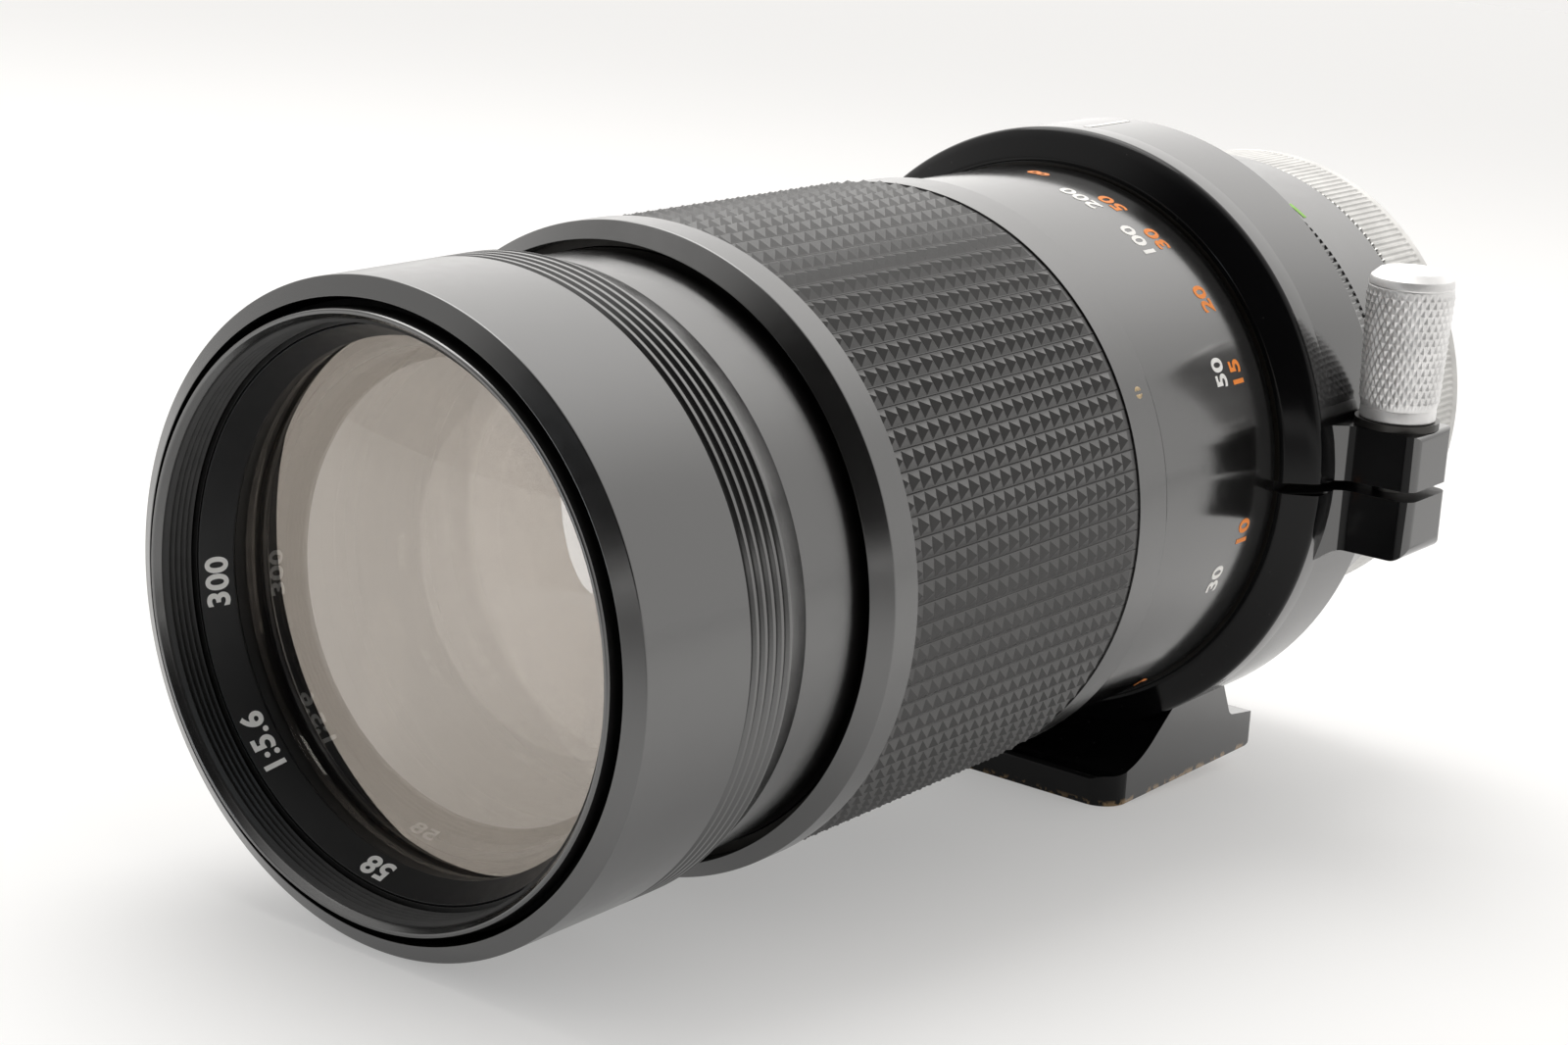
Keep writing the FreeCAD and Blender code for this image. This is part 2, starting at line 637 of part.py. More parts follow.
def scale_ring():
    body = turned([(journal_radius + RUN, scale_rear), (scale_radius - 0.2, scale_rear),
                   (scale_radius, scale_rear + 0.2), (scale_radius, scale_front),
                   (focus_bore - SEAT, scale_front), (focus_bore - SEAT, retainer_rear - PLAY),
                   (journal_radius + RUN, retainer_rear - PLAY)])
    return body.cut(set_screws(SEAT))


def focus_grip():
    """Rubber sleeve with its rows of raised strips."""
    outside = ribbed(grip_radius, GRIP_WALL * 0.55, GRIP_PITCH, grip_rear + PLAY / 2,
                     grip_front - PLAY / 2, 0.62)
    return outside.cut(disc(grip_seat + SEAT, grip_rear - 1, grip_front + 1))


save("focus_ring", focus_ring())
save("scale_ring", scale_ring())
save("focus_grip", focus_grip())
helicoid_front = focus_front - HELICOID_SET
save("helicoid_sleeve", ring(helicoid_radius, helicoid_bore,
                             helicoid_front - HELICOID_LENGTH, helicoid_front))
save("focus_set_screws", *set_screws())

# Front barrel: thin sleeve under the hood, full bore behind it, filter thread at the rim

tube_rear = retainer_front + 2.1
thread_rear = rim_front - 0.7 - FILTER_DEPTH
name_rear = thread_rear - 3.7
glass_bore = glass_edge + SEAT
name_radius = FILTER_RADIUS - 0.45
second_edge = glass_edge - 1.0
third_edge = second_edge - 0.8

# Stations of the front group: two collecting elements and a dispersing one, then the end of their cell
first_vertex = name_rear + 3.15
first_seat = first_vertex - THICK_1 - sag(CURVE_1_REAR, second_edge)
second_vertex = first_vertex - THICK_1 - AIR_2
second_seat = second_vertex - THICK_2 - sag(CURVE_2_REAR, second_edge)
third_vertex = second_seat - CELL_STEP + sag(CURVE_3, third_edge)
third_rear_edge = third_vertex - THICK_3 - sag(CURVE_3_REAR, third_edge)
cell_rear = third_rear_edge - INNER_RING
flange_rear = cell_rear - 2.5


def front_barrel():
    stop = sleeve_radius + 0.25
    body = turned([(guide_radius + RUN, tube_rear), (tube_radius, tube_rear), (tube_radius, hood_rear - PLAY),
                   (sleeve_radius, hood_rear - PLAY), (sleeve_radius, rim_front - 1.6),
                   (stop, rim_front - 1.5), (stop, rim_front - 0.2), (stop - 0.2, rim_front),
                   (FILTER_RADIUS + 1.43, rim_front), (FILTER_RADIUS + 0.5, rim_front - 0.7),
                   (FILTER_RADIUS, rim_front - 0.7), (FILTER_RADIUS, thread_rear),
                   (name_radius + RUN, thread_rear), (name_radius + RUN, name_rear),
                   (cell_radius + SEAT, name_rear), (cell_radius + SEAT, flange_rear - 0.1),
                   (guide_radius + RUN, flange_rear - 0.1)])
    slots = [sector(key_top + RUN, guide_radius - 0.5, tube_rear - 1, guide_front - 0.5,
                    angle - 3.2, angle + 3.2) for angle in (KEY_ANGLE, KEY_ANGLE + 180)]
    return body.cut(slots)


def name_ring():
    front = thread_rear - 0.15
    return turned([(name_radius, name_rear + SEAT), (name_radius, front), (name_radius - 0.25, front),
                   (glass_edge - 0.5, name_rear + 0.2), (glass_edge - 0.5, name_rear + SEAT)])


def front_cell():
    """Cell of the front group: each element rests on its own step."""
    return turned([(glass_bore, name_rear - 0.05), (cell_radius, name_rear - 0.05), (cell_radius, cell_rear),
                   (third_edge + SEAT, cell_rear), (third_edge + SEAT, second_seat - CELL_STEP + 0.03),
                   (third_edge - 0.7, second_seat - CELL_STEP + 0.03), (third_edge - 0.7, second_seat),
                   (second_edge + SEAT, second_seat), (second_edge + SEAT, first_seat),
                   (glass_bore, first_seat)])


save("lens_1", lens(first_vertex, THICK_1, CURVE_1, CURVE_1_REAR, glass_edge))
save("lens_2", lens(second_vertex, THICK_2, CURVE_2, CURVE_2_REAR, second_edge))
save("lens_3", lens(third_vertex, THICK_3, CURVE_3, CURVE_3_REAR, third_edge))
save("front_barrel", front_barrel())
save("name_ring", name_ring())
save("front_cell", front_cell())
save("front_retaining_ring", ring(glass_edge, glass_edge - 0.45,
                                  first_vertex - sag(CURVE_1, glass_edge - 0.45) + 0.03, name_rear - 0.05))
save("front_spacer", ring(second_edge, second_edge - 1.1,
                          second_vertex - sag(CURVE_2, second_edge - 1.1) + 0.03, first_seat - 0.15))
save("inner_retaining_ring", ring(third_edge, third_edge - 1.0, cell_rear + 0.1, third_rear_edge - 0.02))

# Optical tube: hangs from the front barrel and carries the iris and the rear group

iris_floor = tube_rear - 0.3
floor_thick = 1.2
blade_low = iris_floor + 0.45
blade_stack = 3.0
cover_rear = blade_low + blade_stack
cover_front = cover_rear + 0.8
housing_radius = optic_bore - SEAT
housing_bore = housing_radius - 0.8
drive_front = iris_floor - floor_thick - PLAY
drive_rear = drive_front - 1.4
keeper_rear = drive_rear - PLAY - 0.8
cell_front = keeper_rear - 0.15
tube_end = cell_front - 3.0
fork_half = 8.0
fork_start = arm_closed - fork_half - 1.0
fork_end = ARM_ANGLE + fork_half + 1.0


def optical_tube():
    body = turned([(optic_bore, tube_end), (optic_radius, tube_end), (optic_radius, flange_rear),
                   (cell_radius, flange_rear), (cell_radius, cell_rear - 0.1),
                   (third_edge - 1.0, cell_rear - 0.1), (third_edge - 1.0, flange_rear - 1.0),
                   (optic_bore - 0.85, flange_rear - 3.0), (optic_bore - 0.85, cover_front + 0.05),
                   (optic_bore, cover_front + 0.05)])
    return body.cut(sector(optic_radius + 1, optic_bore - 1, drive_rear - 0.3, drive_front + 0.3,
                           fork_start, fork_end))


save("optical_tube", optical_tube())

# Iris: eight leaning blades on pivots in a floor, driven from behind through a slotted ring. Angles in
# this section run clockwise as seen from the front, which is the way that the iris closes.

blade_inner = IRIS_OPEN + 0.2
blade_outer = blade_inner + BLADE_WIDTH
pivot_radius = blade_inner + BLADE_WIDTH / 2 - 0.1
drive_radius = blade_outer - 1.0
blade_step = 360.0 / BLADES
slot_play = 0.13


def polar(radius, angle):
    turn = math.radians(-angle)
    return Vector(radius * math.cos(turn), radius * math.sin(turn), 0)


def turn_about(point, centre, angle):
    return centre + Rotation(Vector(0, 0, -1), angle).multVec(point - centre)


def arc_slot(first, middle, last, half, low, high):
    """Cutter along the arc through three points, with round ends."""
    centre = Part.Circle(first, middle, last).Center
    reach = (first - centre).Length

    def side(offset):
        return [centre + (point - centre) * ((reach + offset) / reach) for point in (first, middle, last)]

    outer = side(half)
    inner = side(-half)
    along_last = (last - middle).normalize()
    along_first = (first - middle).normalize()
    start_tip = centre + (first + along_first * half - centre).normalize() * reach
    end_tip = centre + (last + along_last * half - centre).normalize() * reach
    edges = [Part.Arc(*outer).toShape(), Part.Arc(outer[2], end_tip, inner[2]).toShape(),
             Part.Arc(*inner).toShape(), Part.Arc(inner[0], start_tip, outer[0]).toShape()]
    face = Part.Face(Part.Wire(edges))
    face.translate(Vector(0, 0, low))
    return face.extrude(Vector(0, 0, high - low))


pivot = polar(pivot_radius, 0)
driver = polar(drive_radius, DRIVE_ANGLE)


def around(shape, index):
    copy = shape.copy()
    copy.rotate(Vector(), Vector(0, 0, -1), index * blade_step)
    return copy


def iris_blade():
    """Crescent with a round heel and tip, its pivot and driving pins both pointing backwards."""
    middle = blade_inner + BLADE_WIDTH / 2
    half = BLADE_WIDTH / 2
    outside = Part.Arc(polar(blade_outer, 0), polar(blade_outer, BLADE_SPAN / 2),
                       polar(blade_outer, BLADE_SPAN)).toShape()
    tip = Part.Arc(polar(blade_outer, BLADE_SPAN), polar(middle, BLADE_SPAN + math.degrees(half / middle)),
                   polar(blade_inner, BLADE_SPAN)).toShape()
    inside = Part.Arc(polar(blade_inner, BLADE_SPAN), polar(blade_inner, BLADE_SPAN / 2),
                      polar(blade_inner, 0)).toShape()
    heel = Part.Arc(polar(blade_inner, 0), polar(middle, -math.degrees(half / middle)),
                    polar(blade_outer, 0)).toShape()
    plate = Part.Face(Part.Wire([outside, tip, inside, heel])).extrude(Vector(0, 0, BLADE_THICK))
    rise = math.radians(-BLADE_RISE)
    plate.rotate(pivot, Vector(math.sin(rise), -math.cos(rise), 0), BLADE_TILT)
    plate.translate(Vector(0, 0, blade_low))
    lean = math.tan(math.radians(BLADE_TILT))
    lift = lean * ((driver - pivot).dot(Vector(math.cos(rise), math.sin(rise), 0)))
    up = Vector(0, 0, 1)
    foot_pin = pin(PIN_RADIUS, pivot + up * (iris_floor - floor_thick + 0.1),
                   pivot + up * (blade_low + BLADE_THICK / 2))
    drive_pin = pin(PIN_RADIUS, driver + up * (drive_rear + 0.1),
                    driver + up * (blade_low + lift + BLADE_THICK / 2))
    return plate.fuse([foot_pin, drive_pin])


def iris_housing():
    """Cup whose floor holds the pivots and lets the driving pins through."""
    wall = [(housing_bore, keeper_rear), (housing_radius, keeper_rear), (housing_radius, cover_front),
            (housing_bore, cover_front), (housing_bore, iris_floor), (IRIS_OPEN, iris_floor),
            (IRIS_OPEN, iris_floor - floor_thick), (housing_bore, iris_floor - floor_thick)]
    body = turned(wall)
    cutters = []
    for index in range(BLADES):
        hole = pin(PIN_RADIUS + RUN, pivot + Vector(0, 0, iris_floor - floor_thick - 1),
                   pivot + Vector(0, 0, iris_floor + 1))
        path = [turn_about(driver, pivot, BLADE_TURN * share) for share in (-0.03, 0.5, 1.03)]
        slot = arc_slot(*path, PIN_RADIUS + slot_play, iris_floor - floor_thick - 1, iris_floor + 1)
        cutters += [forward(around(hole, index)), forward(around(slot, index))]
    cutters.append(sector(housing_radius + 1, housing_bore - 1, drive_rear - 0.05, drive_front + 0.05,
                          fork_start, fork_end))
    return body.cut(cutters)


def iris_ring():
    """Driving ring: eight spiral slots for the blades and a fork that the aperture arm turns."""
    body = ring(housing_bore - RUN, IRIS_OPEN + 0.3, drive_rear, drive_front)
    cutters = []
    for index in range(BLADES):
        path = []
        for share in (-0.03, 0.5, 1.03):
            swung = turn_about(driver, pivot, BLADE_TURN * share)
            path.append(turn_about(swung, Vector(), -APERTURE_TURN * share))
        slot = arc_slot(*path, PIN_RADIUS + slot_play, drive_rear - 1, drive_front + 1)
        cutters.append(forward(around(slot, index)))
    fork = sector(guide_bore - 0.3, housing_bore - 1.0, drive_rear, drive_front,
                  ARM_ANGLE - fork_half, ARM_ANGLE + fork_half)
    notch = sector(guide_bore, arm_inner - 0.1, drive_rear - 1, drive_front + 1,
                   ARM_ANGLE - arm_half - 0.15, ARM_ANGLE + arm_half + 0.15)
    return body.cut(cutters).fuse(fork).cut(notch)


save("iris_housing", iris_housing())
save("iris_ring", iris_ring())
save("iris_cover", ring(housing_bore - SEAT, IRIS_OPEN, cover_rear, cover_front))
save("iris_keeper", ring(housing_bore - SEAT, IRIS_OPEN + 0.4, keeper_rear, drive_rear - PLAY))
blade_shape = iris_blade()
for number in range(BLADES):
    save("iris_blade_%d" % (number + 1), forward(around(blade_shape, number)))

# Rear group in its cell, with the baffle that cuts stray light behind it

rear_edge = IRIS_OPEN - 0.2
neck_radius = rear_edge + 3.0
fourth_vertex = cell_front - 6.1
fourth_front_edge = fourth_vertex - sag(CURVE_4, rear_edge)
fifth_vertex = fourth_vertex - THICK_4 - CEMENT
fifth_rear_seat = fifth_vertex - THICK_5 - sag(CURVE_5_REAR, rear_edge - 1.2)
sixth_vertex = fifth_vertex - THICK_5 - AIR_6
sixth_front_edge = sixth_vertex - sag(CURVE_6, rear_edge)
sixth_rear_seat = sixth_vertex - THICK_6 - sag(CURVE_6_REAR, rear_edge - 1.2)
rear_cell_end = sixth_rear_seat - 2.0


def rear_cell():
    return turned([(rear_edge + SEAT, rear_cell_end), (neck_radius, rear_cell_end),
                   (neck_radius, tube_end - 1.0), (optic_radius, tube_end - 1.0),
                   (optic_radius, tube_end - 0.05), (optic_bore - SEAT, tube_end - 0.05),
                   (optic_bore - SEAT, cell_front),
                   (rear_edge - 0.8, cell_front), (rear_edge - 0.8, fourth_front_edge + 0.03),
                   (rear_edge + SEAT, fourth_front_edge + 0.03)])


save("rear_cell", rear_cell())
save("lens_4", lens(fourth_vertex, THICK_4, CURVE_4, CURVE_5, rear_edge))
save("lens_5", lens(fifth_vertex, THICK_5, CURVE_5, CURVE_5_REAR, rear_edge))
save("lens_6", lens(sixth_vertex, THICK_6, CURVE_6, CURVE_6_REAR, rear_edge))
save("rear_spacer", ring(rear_edge, rear_edge - 1.2, sixth_front_edge + 0.03, fifth_rear_seat - 0.1))
save("rear_retaining_ring", ring(rear_edge, rear_edge - 1.2, sixth_rear_seat - 1.5, sixth_rear_seat - 0.03))


def rear_baffle():
    """Thin tube closed by a plate with the oblong light opening."""
    end = rear_cell_end - BAFFLE_LENGTH
    tube = turned([(neck_radius - 0.1, end), (neck_radius - 0.1, rear_cell_end - 0.05),
                   (rear_edge + 1.2, rear_cell_end - 0.05), (rear_edge + 1.2, end + 1.0),
                   (0, end + 1.0), (0, end)])
    opening = Part.makeBox(WINDOW_WIDTH, 4.0, WINDOW_HEIGHT,
                           Vector(-WINDOW_WIDTH / 2, -end - 2.0, -WINDOW_HEIGHT / 2))
    return tube.cut(opening)


save("rear_baffle", rear_baffle())

# Sliding hood with its felt band


def lens_hood():
    shell = [(hood_bore, hood_rear), (tube_radius + 0.25, hood_rear),
             (hood_radius - 0.15, hood_rear + 3.5)]
    groove = hood_rear + 4.1
    for index in range(HOOD_GROOVES):
        low = groove + index * GROOVE_PITCH
        shell += [(hood_radius, low), (hood_radius - GROOVE_DEPTH, low + 0.45), (hood_radius, low + 0.9)]
    shell += [(hood_radius, hood_front - 1.05), (hood_bore + 0.05, hood_front), (hood_bore, hood_front)]
    return turned(shell)


save("lens_hood", lens_hood())
save("hood_felt", ring(hood_bore - SEAT, sleeve_radius + RUN, hood_rear + 1.0,
                       rim_front - 1.6 - HOOD_TRAVEL - 0.3))
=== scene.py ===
import math
import bmesh
import bpy
import numpy as np
from mathutils import Matrix, Vector


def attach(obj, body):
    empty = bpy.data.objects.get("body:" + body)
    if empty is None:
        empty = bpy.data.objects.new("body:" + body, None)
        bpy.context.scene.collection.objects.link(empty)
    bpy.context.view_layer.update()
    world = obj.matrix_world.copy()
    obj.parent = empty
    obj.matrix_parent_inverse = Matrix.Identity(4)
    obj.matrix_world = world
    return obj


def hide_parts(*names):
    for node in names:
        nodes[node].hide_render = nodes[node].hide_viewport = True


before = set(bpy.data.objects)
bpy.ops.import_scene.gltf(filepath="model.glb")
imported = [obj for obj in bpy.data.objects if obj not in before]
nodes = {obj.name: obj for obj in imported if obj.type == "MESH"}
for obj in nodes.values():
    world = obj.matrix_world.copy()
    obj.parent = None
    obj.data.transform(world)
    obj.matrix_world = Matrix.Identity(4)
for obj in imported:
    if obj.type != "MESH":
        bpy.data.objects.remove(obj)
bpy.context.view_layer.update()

# Mount base, with its screws, locating pin and levers: the steel heart that the camera takes hold of.
# Plate, throat and spigot are turned from one bar and satin plated, and four countersunk screws hold them
# to the barrel. The levers, the arm and the click stop are plain machined steel.


def add_node(tree, kind, feeds, **settings):
    """Shader node of a kind. Each input is fed with a number, a colour or another node's output."""
    made = tree.nodes.new("ShaderNode" + kind)
    for setting, value in settings.items():
        setattr(made, setting, value)
    for socket, value in feeds.items():
        if isinstance(value, bpy.types.NodeSocket):
            tree.links.new(value, made.inputs[socket])
        else:
            made.inputs[socket].default_value = value
    return made


def surface(name, shade, rough, metal=0.0, index=1.5, marks=0.0, mark_size=0.0002, turned=0.0,
            mottle=0.12, mottle_size=0.004, dust=0.0, worn=None):
    """Finish with slight mottling in colour and gloss, a fine grain, specks of dust, and, where turned is
    given, the rings that a cutting tool leaves about the optical axis. The index of refraction sets how
    strongly a plain surface mirrors. Below the height worn it is rubbed to brass. Sizes are metres."""
    material = bpy.data.materials.new(name)
    material.use_nodes = True
    tree = material.node_tree
    shader = tree.nodes["Principled BSDF"]
    shader.inputs["Metallic"].default_value = metal
    shader.inputs["IOR"].default_value = index
    place = add_node(tree, "TexCoord", {}).outputs["Object"]

    def noise(size, detail, source):
        return add_node(tree, "TexNoise", {"Scale": 1.0 / size, "Detail": detail,
                                           "Vector": source}).outputs["Fac"]

    def spread(value, low, high, start=0.3, end=0.7):
        return add_node(tree, "MapRange", {"Value": value, "From Min": start, "From Max": end,
                                           "To Min": low, "To Max": high}).outputs["Result"]

    def laid_over(under, cover, amount):
        return add_node(tree, "Mix", {"A": under, "B": cover, "Factor": amount},
                        data_type="RGBA").outputs["Result"]

    darker = (*[value * (1 - mottle) for value in shade], 1)
    lighter = (*[value * (1 + mottle) for value in shade], 1)
    colour = laid_over(darker, lighter, spread(noise(mottle_size, 4.0, place), 0.0, 1.0))
    if dust:
        specks_per_metre, dust_colour = 480.0, (0.45, 0.43, 0.40, 1)
        speck = add_node(tree, "TexVoronoi", {"Scale": specks_per_metre, "Randomness": 1.0, "Vector": place})
        colour = laid_over(colour, dust_colour, spread(speck.outputs["Distance"], dust, 0.0, 0.03, 0.045))
    if worn is not None:
        fade_height, patch_size, brass_colour = 0.0005, 0.0013, (0.34, 0.23, 0.12, 1)
        height = add_node(tree, "SeparateXYZ", {"Vector": place}).outputs["Z"]
        low_down = spread(height, 0.0, 1.0, worn, worn - fade_height)
        patches = spread(noise(patch_size, 5.0, place), 0.0, 1.0, 0.49, 0.56)
        rubbed = add_node(tree, "Math", {0: low_down, 1: patches}, operation="MULTIPLY")
        colour = laid_over(colour, brass_colour, rubbed.outputs["Value"])
    tree.links.new(colour, shader.inputs["Base Color"])
    tree.links.new(spread(noise(mottle_size * 0.4, 5.0, place), rough * 0.88, rough * 1.12),
                   shader.inputs["Roughness"])
    if marks or turned:
        mark_depth, ring_stretch = 0.00002, (0.02, 1.0, 0.02)
        source = place
        if turned:
            source = add_node(tree, "Mapping", {"Scale": ring_stretch, "Vector": place}).outputs["Vector"]
        bump = add_node(tree, "Bump", {"Distance": mark_depth, "Strength": max(marks, turned),
                                       "Height": noise(mark_size, 3.0, source)})
        tree.links.new(bump.outputs["Normal"], shader.inputs["Normal"])
    return material


def dress(material, *names):
    """Give CAD nodes their finish."""
    for name in names:
        mesh = nodes[name].data
        mesh.materials.clear()
        mesh.materials.append(material)


satin_plate = surface("satin_plate", (0.60, 0.59, 0.575), 0.30, metal=1.0, turned=0.35, mark_size=0.00012)
machined_steel = surface("machined_steel", (0.42, 0.41, 0.40), 0.34, metal=1.0, marks=0.25)
dress(satin_plate, "mount_base")
dress(machined_steel, "mount_screws", "mount_pin", "stop_down_lever", "signal_lever", "aperture_arm",
      "click_ball", "click_spring", "focus_stop")

# Breech ring: the bright ring that locks the lens to the camera. It is turned metal, finely ribbed for the
# fingers up to its front edge, with a plain band behind and three lugs inside.


def softened(corners, steps=4, usual_rounding=0.08):
    """Each corner (radius, station, rounding) of a closed outline becomes a short quadratic curve that
    starts and ends on the neighbouring edges: (1-u)^2 A + 2u(1-u) P + u^2 B. Gives points and normals."""
    corners = np.array([(*corner, usual_rounding)[:3] for corner in corners], float)
    point, rounding = corners[:, :2], corners[:, 2]
    ahead = np.roll(point, -1, axis=0) - point
    reach = np.linalg.norm(ahead, axis=1)
    ahead = ahead / reach[:, None]
    behind = np.roll(ahead, 1, axis=0)
    cut = np.minimum(rounding, 0.45 * np.minimum(reach, np.roll(reach, 1)))[:, None, None]
    u = np.linspace(0, 1, steps)[None, :, None]
    start = point[:, None] - behind[:, None] * cut
    end = point[:, None] + ahead[:, None] * cut
    curve = (1 - u) ** 2 * start + 2 * u * (1 - u) * point[:, None] + u ** 2 * end
    along = (1 - u) * behind[:, None] + u * ahead[:, None]
    along = along / np.linalg.norm(along, axis=2, keepdims=True)
    normal = np.stack([along[..., 1], -along[..., 0]], axis=2)
    return curve.reshape(-1, 2), normal.reshape(-1, 2)


def grid_mesh(name, points, closed_rows=True, closed_columns=True):
    """Mesh from an array of points (rows, columns, 3) in millimetres, joined into quads."""
    rows, columns = points.shape[:2]
    index = np.arange(rows * columns).reshape(rows, columns)
    down = np.roll(index, -1, axis=0) if closed_rows else index[1:]
    here = index if closed_rows else index[:-1]
    if closed_columns:
        faces = np.stack([here, np.roll(here, -1, axis=1), np.roll(down, -1, axis=1), down], axis=2)
    else:
        faces = np.stack([here[:, :-1], here[:, 1:], down[:, 1:], down[:, :-1]], axis=2)
    faces = faces.reshape(-1, 4)
    mesh = bpy.data.meshes.new(name)
    mesh.vertices.add(rows * columns)
    mesh.vertices.foreach_set("co", (points.reshape(-1) * 0.001).astype(np.float32))
    mesh.loops.add(faces.size)
    mesh.loops.foreach_set("vertex_index", faces.reshape(-1).astype(np.int32))
    mesh.polygons.add(len(faces))
    mesh.polygons.foreach_set("loop_start", (np.arange(len(faces)) * 4).astype(np.int32))
    mesh.update(calc_edges=True)
    mesh.validate()
    return mesh


def piece(mesh, material, body, replaced=()):
    """Put a mesh in the scene, give it its finish, let it ride on a body and stand for CAD nodes."""
    thing = bpy.data.objects.new(mesh.name, mesh)
    bpy.context.scene.collection.objects.link(thing)
    mesh.materials.append(material)
    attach(thing, body)
    if replaced:
        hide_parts(*replaced)
    return thing


def lathe(name, corners, ribs=None, turns=288):
    """Ring turned about the optical axis: each point (r, s) of the softened outline, its radius and its
    distance in front of the mount, is carried round the axis, x = r cos t, y = -s, z = r sin t. ribs may
    change r by angle and station. Corners run with the metal on their left, so the faces point outwards."""
    outline, normal = softened(corners)
    turn = np.linspace(0, 2 * np.pi, turns, endpoint=False)
    radius = np.repeat(outline[:, :1], turns, axis=1)
    station = np.repeat(outline[:, 1:], turns, axis=1)
    if ribs:
        radius = ribs(radius, station, turn[None, :])
    points = np.stack([radius * np.cos(turn), -station, radius * np.sin(turn)], axis=2)
    mesh = grid_mesh(name, points)
    mesh.shade_smooth()
    if not ribs:
        normals = np.stack([normal[:, :1] * np.cos(turn), np.repeat(-normal[:, 1:], turns, axis=1),
                            normal[:, :1] * np.sin(turn)], axis=2)
        mesh.normals_split_custom_set_from_vertices(normals.reshape(-1, 3))
    else:
        mesh.set_sharp_from_angle(angle=math.radians(30))
    return mesh


breech_radius, breech_bore, breech_seat, breech_lip = 30.9, 26.8, 27.25, 25.45
breech_rear, breech_band_end, lip_rear, lip_front, breech_front = 0.2, 2.9, 5.2, 6.9, 12.0
breech_rib_count, breech_rib_depth = 225, 0.18


def breech_ribs(radius, station, turn):
    """Fine ribs that run out over the front edge: in front of the plain band the radius drops by a
    flat-topped wave of the angle, r - d (1 - w) / 2."""
    wave = np.clip(1.5 * np.cos(breech_rib_count * turn) + 0.1, -1, 1)
    ribbed = (radius > 30.2) & (station > breech_band_end)
    return radius - breech_rib_depth / 2 * (1 - wave) * ribbed


bright_breech = surface("bright_breech", (0.53, 0.525, 0.51), 0.40, metal=1.0, turned=0.4, mark_size=0.00015)
breech = lathe("breech_ring_bright", [
    (breech_bore, breech_rear), (29.5, breech_rear, 0.3), (breech_radius, 1.5, 0.3),
    (breech_radius, 2.8, 0.05), (breech_radius, 3.2, 0.05), (breech_radius, 11.55, 0.15),
    (30.35, breech_front, 0.1), (breech_seat, breech_front), (breech_seat, lip_front),
    (breech_lip, lip_front), (breech_lip, lip_rear), (breech_bore, lip_rear)],
    breech_ribs, 7 * breech_rib_count)
piece(breech, bright_breech, "breech", ["breech_ring"])


def joined(name, parts, merge=0.0):
    """Parts made one closed mesh: points nearer than merge metres are merged, open ends are filled, and
    the faces are turned outwards."""
    whole = bmesh.new()
    for part in parts:
        whole.from_mesh(part)
        bpy.data.meshes.remove(part)
    if merge:
        bmesh.ops.remove_doubles(whole, verts=whole.verts, dist=merge)
    bmesh.ops.holes_fill(whole, edges=[edge for edge in whole.edges if edge.is_boundary], sides=0)
    bmesh.ops.recalc_face_normals(whole, faces=whole.faces)
    mesh = bpy.data.meshes.new(name)
    whole.to_mesh(mesh)
    whole.free()
    return mesh


def lug_mesh(name, outer, inner, rear, front, starts, span, lines=25):
    """Sectors of a ring: a box bent round the optical axis, x = r cos t, y = -s, z = r sin t, with t from
    each starting angle over span degrees."""
    sectors = []
    for start in starts:
        turn = np.radians(np.linspace(start, start + span, lines))
        section = np.array([(inner, rear), (outer, rear), (outer, front), (inner, front)])
        points = np.stack([section[:, :1] * np.cos(turn), np.repeat(-section[:, 1:], lines, axis=1),
                           section[:, :1] * np.sin(turn)], axis=2)
        sectors.append(grid_mesh(name, points, closed_columns=False))
    return joined(name, sectors)


lug_outer, lug_inner, lug_rear, lug_front, lug_starts, lug_span = 26.95, 25.0, 0.25, 1.8, (65, 185, 305), 50
piece(lug_mesh("breech_lugs", lug_outer, lug_inner, lug_rear, lug_front, lug_starts, lug_span), bright_breech,
      "breech")

# Rear barrel and fixed barrel: the black anodised tube that everything turns on. Only the shoulder
# between the aperture ring and the collar, and the thin seats beside the rings, are seen.

black_anodised = surface("black_anodised", (0.0052, 0.005, 0.0048), 0.20, index=2.25, turned=0.10,
                         mark_size=0.00016, mottle_size=0.006, dust=0.12)
# The dull inner black is also laid on the faces of the collar's slit, as painted shade.
inner_black_and_slit_shade = surface("inner_black_and_slit_shade", (0.006, 0.0058, 0.0055), 0.42, turned=0.2, mark_size=0.0002)
rear_bore, rear_journal, rear_shoulder, rear_spigot = 27.7, 29.5, 35.6, 30.38
rear_bevel, shoulder_rear, shoulder_front, spigot_end = 0.3, 33.8, 37.9, 42.4
piece(lathe("rear_barrel_shell", [
    (rear_bore, 13.0), (rear_journal, 13.0), (rear_journal, shoulder_rear),
    (rear_shoulder - rear_bevel, shoulder_rear, 0.15), (rear_shoulder, shoulder_rear + rear_bevel, 0.25),
    (rear_shoulder, shoulder_front - rear_bevel, 0.25), (rear_shoulder - rear_bevel, shoulder_front, 0.15),
    (rear_spigot, shoulder_front), (rear_spigot, spigot_end), (rear_bore, spigot_end)]),
    black_anodised, "barrel", ["rear_barrel"])
dress(inner_black_and_slit_shade, "main_barrel", "guide_barrel", "focus_retainer", "breech_retainer")

# Brass inside the barrel: the straight keys and the ring that drives the iris are bare metal with a film
# of grease. The helicoid sleeve and the collar's liner are blackened.

greased_brass = surface("greased_brass", (0.55, 0.40, 0.18), 0.30, metal=1.0, turned=0.3, mark_size=0.0002)
dress(greased_brass, "guide_keys", "iris_ring")
blackened_brass = surface("blackened_brass", (0.020, 0.017, 0.013), 0.45, metal=0.3, turned=0.3,
                          mark_size=0.0002)
dress(blackened_brass, "helicoid_sleeve", "collar_liner")

